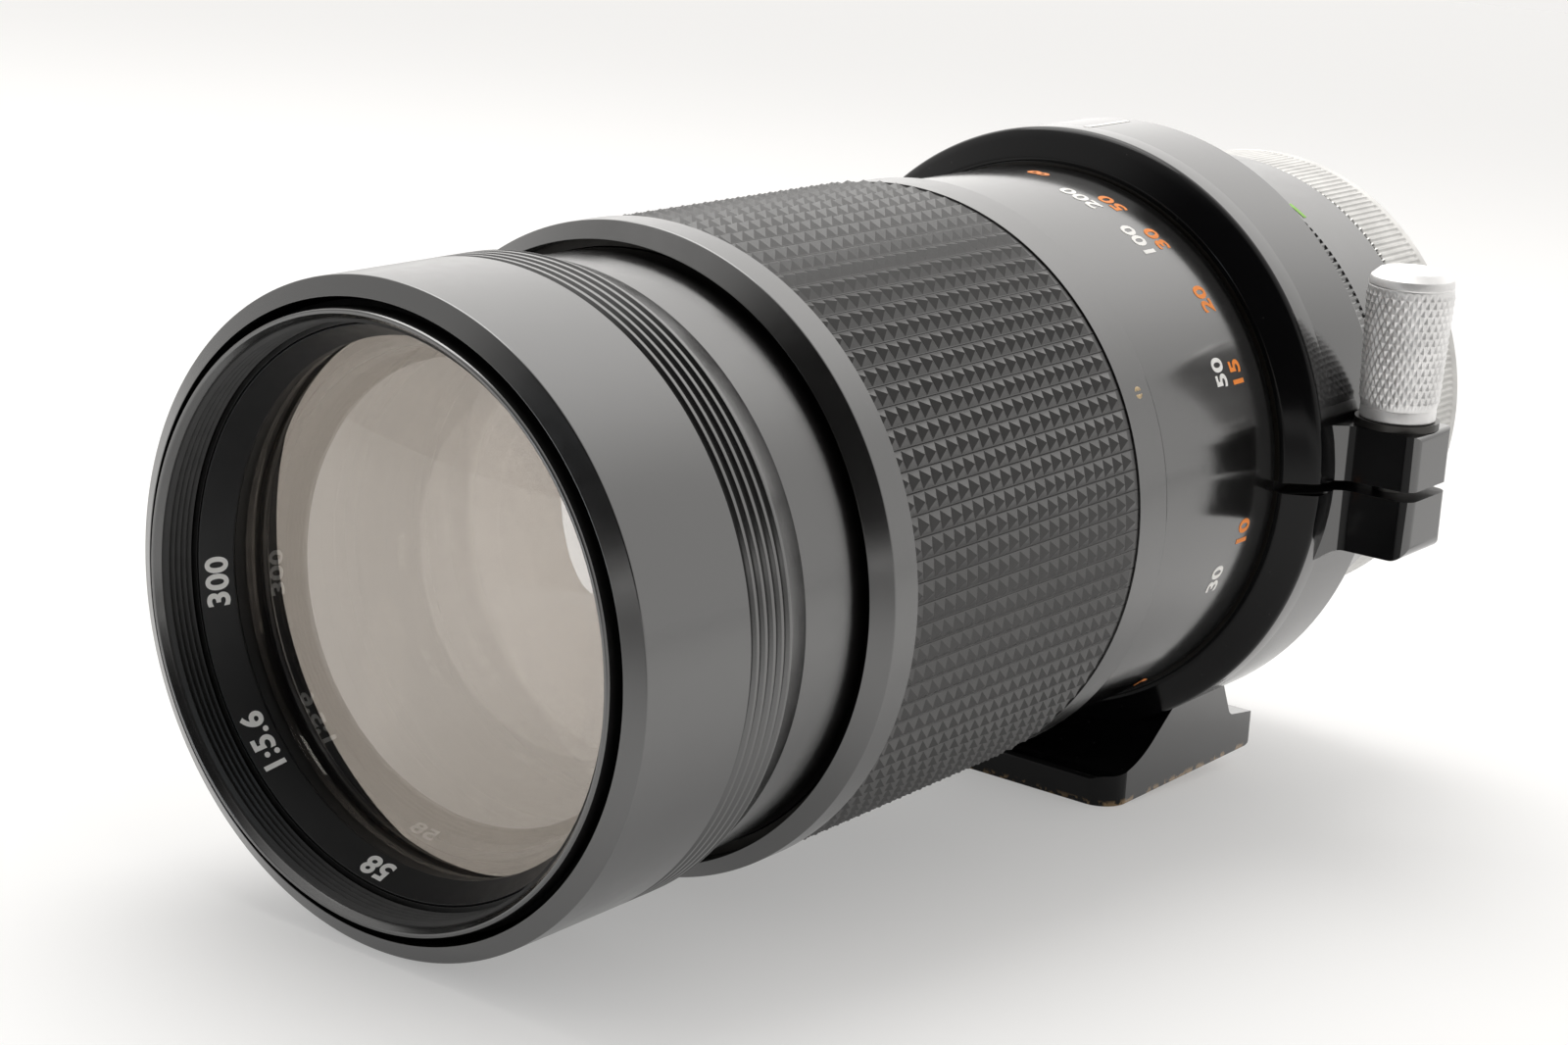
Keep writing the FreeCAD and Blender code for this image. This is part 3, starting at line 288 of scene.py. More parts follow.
# Aperture ring: turned and black anodised, with fine ribs for the fingers, and the stops engraved and
# filled with white on the plain band behind them. A green mark stands beside the ribs.

stop_bore, stop_band, stop_grip = 29.55, 31.4, 31.8
stop_rear, stop_front, rib_rear, rib_front = 13.1, 33.7, 25.1, 33.3
stop_rib_count, stop_rib_depth = 200, 0.20


def stop_ribs(radius, station, turn):
    """Ribs between the two rims, where the radius drops by a flat-topped wave: r - d (1 - w) / 2."""
    wave = np.clip(1.5 * np.cos(stop_rib_count * turn) + 0.1, -1, 1)
    ribbed = (radius > 31.7) & (station > rib_rear) & (station < rib_front)
    return radius - stop_rib_depth / 2 * (1 - wave) * ribbed


stop_ring = lathe("aperture_ring_ribbed", [
    (stop_bore, stop_rear), (31.1, stop_rear, 0.1), (stop_band, 13.4, 0.25), (stop_band, 24.4, 0.05),
    (31.62, 24.64, 0.15), (stop_grip, 25.0, 0.15), (stop_grip, rib_rear + 0.1, 0.02),
    (stop_grip, rib_front - 0.1, 0.02), (stop_grip, 33.4, 0.1), (31.6, stop_front),
    (stop_bore, stop_front)], stop_ribs, 7 * stop_rib_count)
piece(stop_ring, black_anodised, "aperture", ["aperture_ring"])

white_fill = surface("white_fill", (0.92, 0.91, 0.88), 0.5, marks=0.2, mottle=0.05)
orange_fill = surface("orange_fill", (0.90, 0.27, 0.04), 0.5, marks=0.2)
green_fill = surface("green_fill", (0.24, 0.55, 0.06), 0.5, marks=0.2)


def wrapped_marks(name, marks, material, body):
    """Figures bent onto a cylinder or cone about the optical axis. Each mark is (text, height, radius,
    station, angle, lie, widening): the flat figure is turned by lie degrees, then its x runs round the
    ring and its y along it, x = r cos t, y = -s, z = r sin t. A pair of radii, at the figure's foot and
    top, sets it inside a cone."""
    capital_share, boldness, usual_width, raised, longest_edge = 0.69, 0.042, 1.14, 0.02, 0.5
    whole = bmesh.new()
    for text, height, radius, station, angle, lie, *wide in marks:
        letters = bpy.data.curves.new(name, "FONT")
        letters.body = text
        letters.size = height / capital_share
        letters.align_x = "CENTER"
        letters.offset = boldness * height
        letters.space_character = 1.04
        letters.resolution_u = 6
        letters.extrude = raised
        figure = bpy.data.objects.new(name, letters)
        bpy.context.scene.collection.objects.link(figure)
        bpy.context.view_layer.update()
        flat = bpy.data.meshes.new_from_object(figure)
        bpy.data.objects.remove(figure)
        shape = bmesh.new()
        shape.from_mesh(flat)
        long_edges = [edge for edge in shape.edges if edge.calc_length() > longest_edge]
        bmesh.ops.subdivide_edges(shape, edges=long_edges, cuts=3)
        bmesh.ops.triangulate(shape, faces=shape.faces)
        shape.to_mesh(flat)
        shape.free()
        count = len(flat.vertices)
        spot = np.zeros(count * 3)
        flat.vertices.foreach_get("co", spot)
        spot = spot.reshape(-1, 3)
        across = spot[:, 0] * (wide[0] if wide else usual_width)
        up, out = spot[:, 1] - height / 2, spot[:, 2]
        lie_turn = math.radians(lie)
        round_way = across * math.cos(lie_turn) - up * math.sin(lie_turn)
        along = across * math.sin(lie_turn) + up * math.cos(lie_turn)
        foot, top, side = (*radius, -1) if isinstance(radius, tuple) else (radius, radius, 1)
        share = up / height + 0.5
        reach = foot + (top - foot) * share + side * out
        turn = math.radians(angle) + side * round_way / foot
        bent = np.stack([reach * np.cos(turn), -(station + along), reach * np.sin(turn)], axis=1)
        flat.vertices.foreach_set("co", (bent * 0.001).astype(np.float32).reshape(-1))
        whole.from_mesh(flat)
        bpy.data.meshes.remove(flat)
        bpy.data.curves.remove(letters)
    bmesh.ops.recalc_face_normals(whole, faces=whole.faces)
    mesh = bpy.data.meshes.new(name)
    whole.to_mesh(mesh)
    whole.free()
    piece(mesh, material, body)


def stop_angle(stop):
    """Where a stop stands on the ring, from 90 degrees at the top: the leaf that bounds an opening of
    radius p has swung by 2 asin((e - p) / (2 c)) about its pin, and the ring turns farther than the leaf."""
    ring_turn, leaf_turn, widest_stop = 45.0, 36.5, 5.6
    leaf_edge, widest_opening, pin_circle = 15.4, 15.2, 18.4
    opening = widest_opening * widest_stop / stop
    swing = 2 * math.degrees(math.asin((leaf_edge - opening) / (2 * pin_circle)))
    return 90 + ring_turn / leaf_turn * swing


mark_lift, stop_height, stop_line = 0.02, 1.9, 18.9
stop_surface, shoulder_surface = stop_band + mark_lift, rear_shoulder + mark_lift
stops = (("5.6", 5.6), ("8", 8), ("11", 11), ("16", 16), ("22", 22))
wrapped_marks("stop_figures", [(text, stop_height, stop_surface, stop_line, stop_angle(value), 180)
                               for text, value in stops], white_fill, "aperture")
wrapped_marks("stop_index", [("I", 2.4, shoulder_surface, 35.85, 90, 180)], white_fill, "barrel")
wrapped_marks("stop_lock_mark", [("I", 2.6, stop_surface, 23.2, 59.8, 90, 1.2)], green_fill, "aperture")

# Iris, its housing and the cells: eight blackened steel leaves on pins, under a thin cover ring, between
# the turned and blackened cells that hold the glass.

leaf_black = surface("leaf_black", (0.03, 0.03, 0.032), 0.36, metal=0.6, marks=0.15)
leaf_count = 8
dress(leaf_black, *["iris_blade_%d" % (number + 1) for number in range(leaf_count)])
dress(inner_black_and_slit_shade, "iris_housing", "iris_cover", "iris_keeper", "optical_tube", "front_cell", "rear_cell",
      "rear_spacer", "rear_retaining_ring", "front_spacer", "inner_retaining_ring", "rear_baffle",
      "front_retaining_ring")

# Lens elements: six pieces of polished, coated glass. Each outer face mirrors a little of the room, with
# the warm tint of its coating, and lets the rest through.


def coated_glass(name, tint, mirror, edge_mirror):
    """Clear body with a tinted mirror film: opacity rises from mirror to edge_mirror at a glancing angle."""
    material = bpy.data.materials.new(name)
    material.use_nodes = True
    tree = material.node_tree
    shader = tree.nodes["Principled BSDF"]
    shader.inputs["Metallic"].default_value = 1.0
    films_per_metre = 60.0
    place = add_node(tree, "TexCoord", {}).outputs["Object"]
    film = add_node(tree, "TexNoise", {"Scale": films_per_metre, "Vector": place}).outputs["Fac"]
    thinner, thicker = (*tint, 1), (*[value * 0.96 for value in tint], 1)
    blend = add_node(tree, "Mix", {"A": thinner, "B": thicker, "Factor": film}, data_type="RGBA")
    smear = add_node(tree, "MapRange", {"Value": film, "To Min": 0.012, "To Max": 0.02})
    facing = add_node(tree, "LayerWeight", {"Blend": 0.35}).outputs["Facing"]
    weight = add_node(tree, "MapRange", {"Value": facing, "To Min": mirror, "To Max": edge_mirror})
    tree.links.new(blend.outputs["Result"], shader.inputs["Base Color"])
    tree.links.new(smear.outputs["Result"], shader.inputs["Roughness"])
    tree.links.new(weight.outputs["Result"], shader.inputs["Alpha"])
    return material


def second_finish(thing, material, chosen):
    """Give the faces that chosen picks, by their centres and normals, another material."""
    mesh = thing.data
    mesh.materials.append(material)
    finish = np.zeros(len(mesh.polygons), np.int32)
    mesh.polygons.foreach_get("material_index", finish)
    spot = np.zeros(len(mesh.polygons) * 3)
    facing = np.zeros(len(mesh.polygons) * 3)
    mesh.polygons.foreach_get("center", spot)
    mesh.polygons.foreach_get("normal", facing)
    finish[chosen(spot.reshape(-1, 3), facing.reshape(-1, 3))] = len(mesh.materials) - 1
    mesh.polygons.foreach_set("material_index", finish)


def element(name, vertex, thick, front_curve, rear_curve, edge, material, node, turns=192, levels=34):
    """Glass element: two spherical caps, sag = R - sqrt(R^2 - r^2), joined by the ground edge. The outline
    runs from the rear pole to the front pole, and both poles are closed."""
    rings = edge * np.sin(np.linspace(0.0, np.pi / 2, levels))

    def depth(curve):
        return np.sign(curve) * (abs(curve) - np.sqrt(curve ** 2 - rings ** 2))

    front = vertex - depth(front_curve)
    back = vertex - thick - depth(rear_curve)
    radius = np.concatenate([rings, rings[::-1]])
    station = np.concatenate([back, front[::-1]])
    turn = np.linspace(0, 2 * np.pi, turns, endpoint=False)
    points = np.stack([radius[:, None] * np.cos(turn), np.repeat(-station[:, None], turns, axis=1),
                       radius[:, None] * np.sin(turn)], axis=2)
    mesh = joined(name, [grid_mesh(name, points, closed_rows=False)], merge=1e-7)
    mesh.shade_smooth()
    mesh.set_sharp_from_angle(angle=math.radians(35))
    return piece(mesh, material, "front_group", [node])


front_glass = coated_glass("front_glass", (0.97, 0.94, 0.91), 0.075, 0.30)
rear_glass = coated_glass("rear_glass", (0.97, 0.87, 0.765), 0.26, 0.42)
inner_glass = coated_glass("inner_glass", (0.93, 0.86, 0.80), 0.05, 0.3)
first_vertex, first_thick, first_front, first_rear, first_edge = 167.95, 9.0, 76.0, -122.0, 27.4
second_vertex, second_thick, second_front, second_rear, second_edge = 158.0, 6.0, 75.0, 160.0, 26.4
front_element = element("front_element", first_vertex, first_thick, first_front, first_rear, first_edge,
                        front_glass, "lens_1")
second_finish(front_element, rear_glass, lambda spot, facing: facing[:, 1] > 0.5)
element("second_element", second_vertex, second_thick, second_front, second_rear, second_edge, inner_glass,
        "lens_2")
dress(inner_glass, "lens_3", "lens_4", "lens_5", "lens_6")

# Front barrel: the long black tube that the focus ring pushes out. Its rim carries the filter thread,
# five fine ridges inside a rolled edge. It is duller inside, and where the hood's felt slides on it.

tube_bore, tube_radius, tube_guide, guide_bore = 28.42, 30.95, 31.95, 29.65
tube_rear, guide_end, rim_foot, rim_end, seat_station = 90.2, 146.1, 170.4, 172.9, 164.8
dull_bore, dull_slide, dull_rear, dull_front = 0.02955, 0.0311, 0.1465, 0.1715
ridge_foot, ridge_crest, ridge_pitch, ridge_count, first_ridge = 29.42, 29.0, 0.72, 5, 172.0
ridge_corners = []
for ridge in range(ridge_count):
    ridge_station = first_ridge - ridge_pitch * ridge
    ridge_corners += [(ridge_foot, ridge_station, 0.05), (ridge_crest, ridge_station - ridge_pitch / 2, 0.05)]
front_tube = piece(lathe("front_barrel_tube", [
    (guide_bore, tube_rear), (tube_guide, tube_rear), (tube_guide, guide_end - 0.05, 0.2),
    (tube_radius, guide_end), (tube_radius, 169.8), (30.45, rim_foot), (30.45, 172.65, 0.15),
    (30.3, rim_end, 0.1), (30.0, rim_end, 0.1), (29.6, 172.3, 0.12)] + ridge_corners +
    [(ridge_foot, 168.42, 0.03), (28.6, 168.4, 0.03), (28.6, seat_station), (tube_bore, seat_station),
     (tube_bore, 136.8), (guide_bore, 136.8)]),
    black_anodised, "front_group", ["front_barrel"])


def dull_inside(spot, facing):
    """Faces inside the rim, and the stretch of the tube that the hood covers, by radius and place."""
    reach = np.hypot(spot[:, 0], spot[:, 2])
    covered = (reach < dull_slide) & (spot[:, 1] < -dull_rear) & (spot[:, 1] > -dull_front)
    return (reach < dull_bore) | covered


second_finish(front_tube, inner_black_and_slit_shade, dull_inside)

# Name ring: a turned and blackened cone, screwed in round the front glass to hold the cell. Only the focal
# length, the largest opening and the filter size stand on it, in white.

ring_black = surface("ring_black", (0.009, 0.0092, 0.010), 0.36, turned=0.12, mark_size=0.0002)
cone_small, cone_large, cone_rear, cone_front = 26.9, 28.55, 164.82, 168.35
piece(lathe("name_ring_cone", [
    (cone_small, cone_rear), (cone_large, cone_rear), (cone_large, cone_front - 0.05, 0.1),
    (cone_large - 0.2, cone_front, 0.05), (cone_small, cone_rear + 0.18, 0.06)]),
    ring_black, "front_group", ["name_ring"])
name_height, name_radii, name_line = 2.05, (27.15, 28.04), 166.7
name_places = (("300", 186), ("1:5.6", 222), ("58", 262))
wrapped_marks("name_figures", [(text, name_height, name_radii, name_line, angle, 0)
                               for text, angle in name_places], white_fill, "front_group")

# Focus ring: turned and black anodised, with a bevelled nose, a long seat for the rubber, and a plain land
# behind it. Three slotted grub screws in the land lock it to the scale ring.

focus_bore, focus_land, grip_seat, focus_nose = 33.02, 34.4, 33.9, 34.9
focus_rear, land_end, seat_end = 82.55, 88.5, 131.5
piece(lathe("focus_ring_body", [
    (focus_bore, focus_rear), (focus_land - 0.2, focus_rear, 0.1), (focus_land, focus_rear + 0.25, 0.15),
    (focus_land, land_end, 0.03), (grip_seat, land_end + 0.05), (grip_seat, seat_end),
    (focus_nose, seat_end, 0.05), (focus_nose, 135.3, 0.12), (33.1, 137.15, 0.12), (focus_bore, 137.1)]),
    black_anodised, "focus", ["focus_ring"])
screw_brown = surface("screw_brown", (0.46, 0.35, 0.21), 0.34, metal=0.9, marks=0.3)


def screw_heads(name, radius, reach, station, angles, slot_depth=0.2, slot_half=0.16):
    """Slotted screw heads: a disc grid (r, t) whose height drops inside the slot, set on the barrel."""
    heads = []
    for angle in angles:
        ring_at = np.array([1.0, 1.0, 0.86, 0.6, 0.3, 0.02])[:, None] * radius
        turn = np.linspace(0, 2 * np.pi, 32, endpoint=False)[None, :]
        across, along = ring_at * np.cos(turn), ring_at * np.sin(turn)
        dome = np.array([-0.3, -0.03, 0.03, 0.03, 0.03, 0.03])[:, None]
        height = dome - slot_depth * (np.abs(across) < slot_half)
        theta = math.radians(angle) + across / reach
        points = np.stack([(reach + height) * np.cos(theta), -(station + along),
                           (reach + height) * np.sin(theta)], axis=2)
        heads.append(grid_mesh(name, points, closed_rows=False))
    return joined(name, heads)


screw_radius, screw_station, screw_angles = 0.75, 85.2, (26.5, 146.5, 266.5)
piece(screw_heads("focus_screw_heads", screw_radius, focus_land, screw_station, screw_angles), screw_brown,
      "focus", ["focus_set_screws"])

# Rubber grip: a moulded sleeve with ninety-six rows of small pyramids along the lens, and between the
# rows a narrow land with the fine line left by the mould.


def grip_mesh(name, rows=96, count=22, rear=88.6, front=131.45, base=34.2, peak=34.8, pitch=1.915):
    """Grid of the lands and the pyramids' feet, five lines to a row, by stations one pitch apart, and a
    peak over the middle of each foot. Each pyramid is four triangles, and everything else is quads."""
    step = 360.0 / rows
    foot_half, line_place, line_half, line_depth, sleeve_bore = 0.44, 0.50, 0.025, 0.07, 33.95
    share = np.array([-foot_half, foot_half, line_place - line_half, line_place, line_place + line_half])
    level = np.array([base, base, base, base - line_depth, base])
    turn = np.radians((np.arange(rows)[:, None] + share).reshape(-1) * step)
    foot = np.tile(level, rows)
    stations = np.concatenate([[front], front - pitch * np.arange(count + 1),
                               [rear + 0.25, rear, rear, front]])
    radii = np.repeat(foot[None, :], len(stations), axis=0)
    radii[-2:] = sleeve_bore
    columns = len(turn)
    points = np.stack([radii * np.cos(turn), np.repeat(-stations[:, None], columns, axis=1),
                       radii * np.sin(turn)], axis=2)
    index = np.arange(points.shape[0] * columns).reshape(-1, columns)
    here, down = index, np.roll(index, -1, axis=0)
    quads = np.stack([here, down, np.roll(down, -1, axis=1), np.roll(here, -1, axis=1)], axis=2)
    raised = np.zeros(here.shape, bool)
    raised[1:count + 1, 0::5] = True
    corners = quads[raised]
    middle = np.radians(np.arange(rows) * step)
    centre = front - pitch * (np.arange(count) + 0.5)
    peaks = np.stack([np.repeat(peak * np.cos(middle)[None, :], count, axis=0),
                      np.repeat(-centre[:, None], rows, axis=1),
                      np.repeat(peak * np.sin(middle)[None, :], count, axis=0)], axis=2).reshape(-1, 3)
    tip = index.size + np.arange(len(peaks))
    sides = np.concatenate([np.stack([corners[:, side], corners[:, (side + 1) % 4], tip], axis=1)
                            for side in range(4)])
    mesh = bpy.data.meshes.new(name)
    spots = np.concatenate([points.reshape(-1, 3), peaks]) * 0.001
    mesh.from_pydata(spots.tolist(), [], quads[~raised].tolist() + sides.tolist())
    mesh.update()
    return mesh


grip_rubber = surface("grip_rubber", (0.016, 0.015, 0.0145), 0.36, index=1.72, marks=0.3, mark_size=0.0001,
                      mottle=0.2, mottle_size=0.008)
piece(grip_mesh("rubber_grip"), grip_rubber, "focus", ["focus_grip"])

# Scale ring: plain anodised barrel engraved with the distances, metres in orange nearest the collar and
# feet in white in front of them. A sideways eight in orange stands for infinity.

scale_black = surface("scale_black", (0.0052, 0.005, 0.0048), 0.13, index=2.2, turned=0.06,
                      mark_size=0.00016, dust=0.12)
scale_bore, scale_radius, scale_spigot = 31.85, 33.6, 33.0
scale_rear, scale_front, scale_spigot_end = 56.4, 82.5, 85.9
piece(lathe("scale_barrel", [
    (scale_bore, scale_rear), (scale_radius - 0.15, scale_rear, 0.1), (scale_radius, scale_rear + 0.2, 0.12),
    (scale_radius, scale_front, 0.05), (scale_spigot, scale_front), (scale_spigot, scale_spigot_end),
    (scale_bore, scale_spigot_end)]), scale_black, "focus", ["scale_ring"])
scale_law = 976.0


def scale_angle(metres):
    """A distance u stands at k / u degrees down from the top on the +X side. The figures nearest
    infinity are given a distance a little off their own, where there is room for them."""
    return 90 - scale_law / metres


figure_height, scale_surface, metre_line, foot_line = 2.15, scale_radius + mark_lift, 62.7, 66.3
metre_marks = [(text, figure_height, scale_surface, metre_line, scale_angle(value), 0) for text, value in (
    ("50", 47), ("30", 29.5), ("20", 20), ("15", 15), ("10", 10), ("7", 7), ("5", 5), ("4", 4), ("3", 3))]
metre_marks.append(("8", 2.6, scale_surface, metre_line, 87.6, 90, 1.0))
foot_marks = [(text, figure_height, scale_surface, foot_line, 90 - angle, 0) for text, angle in (
    ("200", 16.8), ("100", 32.6), ("50", 64), ("30", 106.7), ("20", 160), ("15", 213.5), ("12", 267),
    ("10", 320))]
wrapped_marks("metre_figures", metre_marks, orange_fill, "focus")
wrapped_marks("foot_figures", foot_marks, white_fill, "focus")

# Tripod collar: one aluminium casting of ring, clamp ears, web and foot, in gloss black enamel. It is
# worn to a brass-coloured undercoat at the foot's lower edge, and has a steel-lined socket below.


def smoothed_copy(node, name):
    """A CAD mesh with its loose triangles joined and flat runs merged."""
    mesh = nodes[node].data.copy()
    mesh.name = name
    mesh.materials.clear()
    shape = bmesh.new()
    shape.from_mesh(mesh)
    bmesh.ops.remove_doubles(shape, verts=shape.verts, dist=2e-6)
    bmesh.ops.dissolve_limit(shape, angle_limit=math.radians(0.6), verts=shape.verts, edges=shape.edges)
    shape.to_mesh(mesh)
    shape.free()
    mesh.shade_smooth()
    mesh.set_sharp_from_angle(angle=math.radians(32))
    return mesh


worn_below, shaded_face_starts, slit_half, slit_starts, edge_radius = -0.0417, -0.0523, 0.0007, 0.033, 0.00035
gloss_enamel = surface("gloss_enamel", (0.0045, 0.0045, 0.0048), 0.13, index=2.1, mottle_size=0.01, dust=0.12,
                       worn=worn_below)
# The copy below is darker and mirrors less than the gloss enamel: painted shade, laid on the collar's forward
# faces so that they show dark.
shaded_face_enamel = surface("shaded_face_enamel", (0.0036, 0.0036, 0.004), 0.12, index=1.31, mottle_size=0.01, dust=0.1,
                      worn=worn_below)
collar = piece(smoothed_copy("tripod_collar", "collar_casting"), gloss_enamel, "collar",
               ["tripod_collar"])
ease = collar.modifiers.new("ease", "BEVEL")
ease.width = edge_radius
ease.segments = 3
ease.limit_method = "ANGLE"
ease.angle_limit = math.radians(24)
weigh = collar.modifiers.new("weigh", "WEIGHTED_NORMAL")
weigh.keep_sharp = True
# Painted shade: faces in front of the shoulder, and faces turned forward, take the darker, less mirroring
# copy of the enamel.
second_finish(collar, shaded_face_enamel, lambda spot, facing: (spot[:, 1] < shaded_face_starts) | (facing[:, 1] < -0.8))
# Painted shade: the faces of the clamp's slit take the dull inner black, so that the narrow slit shows dark.
second_finish(collar, inner_black_and_slit_shade, lambda spot, facing: (
    (np.abs(spot[:, 2]) < slit_half) & (np.abs(facing[:, 2]) > 0.9) & (spot[:, 0] > slit_starts)))


def split_ring(name, corners, start, end, lines=361):
    """Ring open at the slit: the softened outline carried round the optical axis from start to end
    degrees, x = r cos t, y = -s, z = r sin t, with both ends closed."""
    outline, _ = softened(corners, 9)
    turn = np.radians(np.linspace(start, end, lines))
    points = np.stack([outline[:, :1] * np.cos(turn), np.repeat(-outline[:, 1:], lines, axis=1),
                       outline[:, :1] * np.sin(turn)], axis=2)
    mesh = joined(name, [grid_mesh(name, points, closed_columns=False)])
    mesh.shade_smooth()
    mesh.set_sharp_from_angle(angle=math.radians(30))
    return mesh


collar_radius, collar_bore, collar_front, shoulder_foot, slit_angle = 37.985, 33.95, 56.05, 50.0, 1.1
shoulder = piece(split_ring("collar_shoulder", [
    (collar_bore, collar_front, 0.2), (collar_bore, shoulder_foot), (collar_radius, shoulder_foot),
    (collar_radius, 53.5, 1.3), (37.1, 54.3, 0.9), (34.5, collar_front, 0.2)], slit_angle, 360 - slit_angle),
    gloss_enamel, "collar")
# Painted shade: the shoulder's front face takes the darker, less mirroring copy of the enamel.
second_finish(shoulder, shaded_face_enamel, lambda spot, facing: spot[:, 1] < shaded_face_starts)
dress(satin_plate, "tripod_bush")
wrapped_marks("collar_index", [("I", 9.0, collar_radius + 0.005, 45.6, 90, 0, 0.4)], white_fill, "collar")

# Clamp: a turned aluminium knob with a diamond knurl, pressed on a steel screw that draws both ears
# together, over a dark washer.


def knob_mesh(name, axis_x, axis_y, foot, top, low, high, radius, flare, around=33, tall=8, relief=0.24):
    """Surface of revolution about the clamp's axis. Between low and high the radius gains a diamond
    knurl: with u and v the two slanting counts, the height is the smaller of their triangle waves."""
    steps = 8
    turn = np.linspace(0, 2 * np.pi, around * steps, endpoint=False)
    knurl = np.linspace(low, high, tall * steps + 1)
    share = (knurl - low) / (high - low)
    count = share * tall
    slant_up = around * turn[None, :] / (2 * np.pi) + count[:, None]
    slant_down = around * turn[None, :] / (2 * np.pi) - count[:, None]

    def wave(value):
        return 1 - np.abs(2 * (value - np.floor(value)) - 1)

    height = np.minimum(wave(slant_up), wave(slant_down))
    fade = np.clip(np.minimum(share, 1 - share) * tall * 2, 0, 1)[:, None]
    grip = radius + flare * share[:, None] - relief + relief * height * fade
    bore, neck, wide, crown = 2.02, 4.5, radius + flare, 0.02
    below = [(bore, foot), (neck - 0.2, foot), (neck - 0.08, foot + 0.08), (neck, foot + 0.2),
             (neck, low - 0.3), (neck - 0.08, low - 0.1)]
    above = [(wide - 0.3, high + 0.12), (wide - 0.22, high + 0.3), (wide - 0.3, top - 1.1),
             (wide - 0.42, top - 0.85), (wide - 1.3, top - 0.06), (wide - 1.5, top), (0.6, top + crown),
             (0.0, top + crown)]
    levels = np.concatenate([[p[1] for p in below], knurl, [p[1] for p in above]])
    plain = np.ones((1, len(turn)))
    radii = np.concatenate([np.array([[p[0]] for p in below]) * plain, grip,
                            np.array([[p[0]] for p in above]) * plain])
    points = np.stack([axis_x + radii * np.cos(turn), axis_y + radii * np.sin(turn),
                       np.repeat(levels[:, None], len(turn), axis=1)], axis=2)
    mesh = joined(name, [grid_mesh(name, points, closed_rows=False)], merge=1e-7)
    mesh.shade_smooth()
    mesh.set_sharp_from_angle(angle=math.radians(22))
    return mesh


knurled_aluminium = surface("knurled_aluminium", (0.86, 0.855, 0.85), 0.46, metal=0.72, marks=0.2)
clamp_x, clamp_y, knob_foot, knob_top, knurl_low, knurl_high = 42.22, -43.6, 8.15, 26.05, 9.75, 24.05
knob_radius, knob_flare = 4.75, 0.5
piece(knob_mesh("clamp_knob_knurled", clamp_x, clamp_y, knob_foot, knob_top, knurl_low, knurl_high,
                knob_radius, knob_flare), knurled_aluminium, "clamp", ["clamp_knob"])
washer_dark = surface("washer_dark", (0.06, 0.058, 0.055), 0.35, metal=0.8, marks=0.2)
dress(washer_dark, "clamp_washer")
dress(machined_steel, "clamp_screw")

# Sliding hood: a turned tube that slides on the front barrel on a felt band, with five V grooves for the
# fingers, a tapered tail and a bevelled front edge.

hood_radius, hood_bore, hood_tail, hood_front, hood_lip = 33.44, 31.45, 146.2, 171.0, 172.0
groove_floor, groove_pitch, groove_half, groove_count, first_groove = 32.78, 1.25, 0.42, 5, 150.3
groove_corners = []
for groove in range(groove_count):
    groove_low = first_groove + groove_pitch * groove
    groove_corners += [(hood_radius, groove_low, 0.05), (groove_floor, groove_low + groove_half, 0.05),
                       (hood_radius, groove_low + 2 * groove_half, 0.05)]
piece(lathe("hood_shell", [
    (hood_bore, hood_tail), (32.25, hood_tail, 0.1), (33.3, 149.8, 0.1), (33.3, 150.1, 0.03)] +
    groove_corners + [(hood_radius, hood_front, 0.14), (31.52, hood_lip + 0.06, 0.1),
                      (hood_bore, hood_lip, 0.03)]),
    black_anodised, "hood", ["lens_hood"])
felt = surface("felt", (0.010, 0.009, 0.009), 0.95, index=1.2, marks=1.0, mark_size=0.0003)
dress(felt, "hood_felt")

# Table, room, lamps and camera. The lens lies tipped forward, on its hood and the foot's front edge, so
# the table slopes under it. The table glows a little to the camera and in mirrors, and near the camera it
# is darker for all rays but the camera's own: a painted shadow, standing for the dark side of the room
# where the camera stands, which the lens mirrors and which shades the lens. The room has a dim side and
# two bright ones.

table_colour, glow_colour, glow_share = (0.91, 0.905, 0.90), (0.945, 0.94, 0.93, 1), 0.34
# Painted shadow on the table near the camera: its centre, the distances over which it fades, and how dark it
# is.
dim_spot, dim_from, dim_to, dim_strength = (0.20, -0.42, -0.012), 0.08, 0.31, 0.35
table = bpy.data.materials.new("table")
table.use_nodes = True
top = table.node_tree
rays = add_node(top, "LightPath", {}).outputs
place = add_node(top, "TexCoord", {}).outputs["Object"]
away = add_node(top, "VectorMath", {0: place, 1: dim_spot}, operation="DISTANCE").outputs["Value"]
fall = add_node(top, "MapRange", {"Value": away, "From Min": dim_from, "From Max": dim_to,
                                  "To Min": dim_strength, "To Max": 1.0}, interpolation_type="SMOOTHSTEP")
lit = add_node(top, "Math", {0: fall.outputs["Result"], 1: rays["Is Camera Ray"]},
               operation="MAXIMUM").outputs["Value"]
shade = add_node(top, "VectorMath", {0: table_colour, "Scale": lit}, operation="SCALE").outputs["Vector"]
matt = top.nodes["Principled BSDF"]
matt.inputs["Roughness"].default_value = 0.9
matt.inputs["Specular IOR Level"].default_value = 0.1
top.links.new(shade, matt.inputs["Base Color"])
glow = add_node(top, "Emission", {"Color": glow_colour, "Strength": lit})
seen = add_node(top, "Math", {0: rays["Is Camera Ray"], 1: rays["Is Glossy Ray"]}, operation="MAXIMUM")
part = add_node(top, "Math", {0: seen.outputs["Value"], 1: glow_share}, operation="MULTIPLY")
mixed = add_node(top, "MixShader", {"Fac": part.outputs["Value"], 1: matt.outputs["BSDF"],
                                    2: glow.outputs["Emission"]})
top.links.new(mixed.outputs["Shader"], top.nodes["Material Output"].inputs["Surface"])
floor_mesh = bpy.data.meshes.new("table_top")
foot_face, foot_front, table_gap, half_size = 42.5, 64.5, 0.02, 14.0
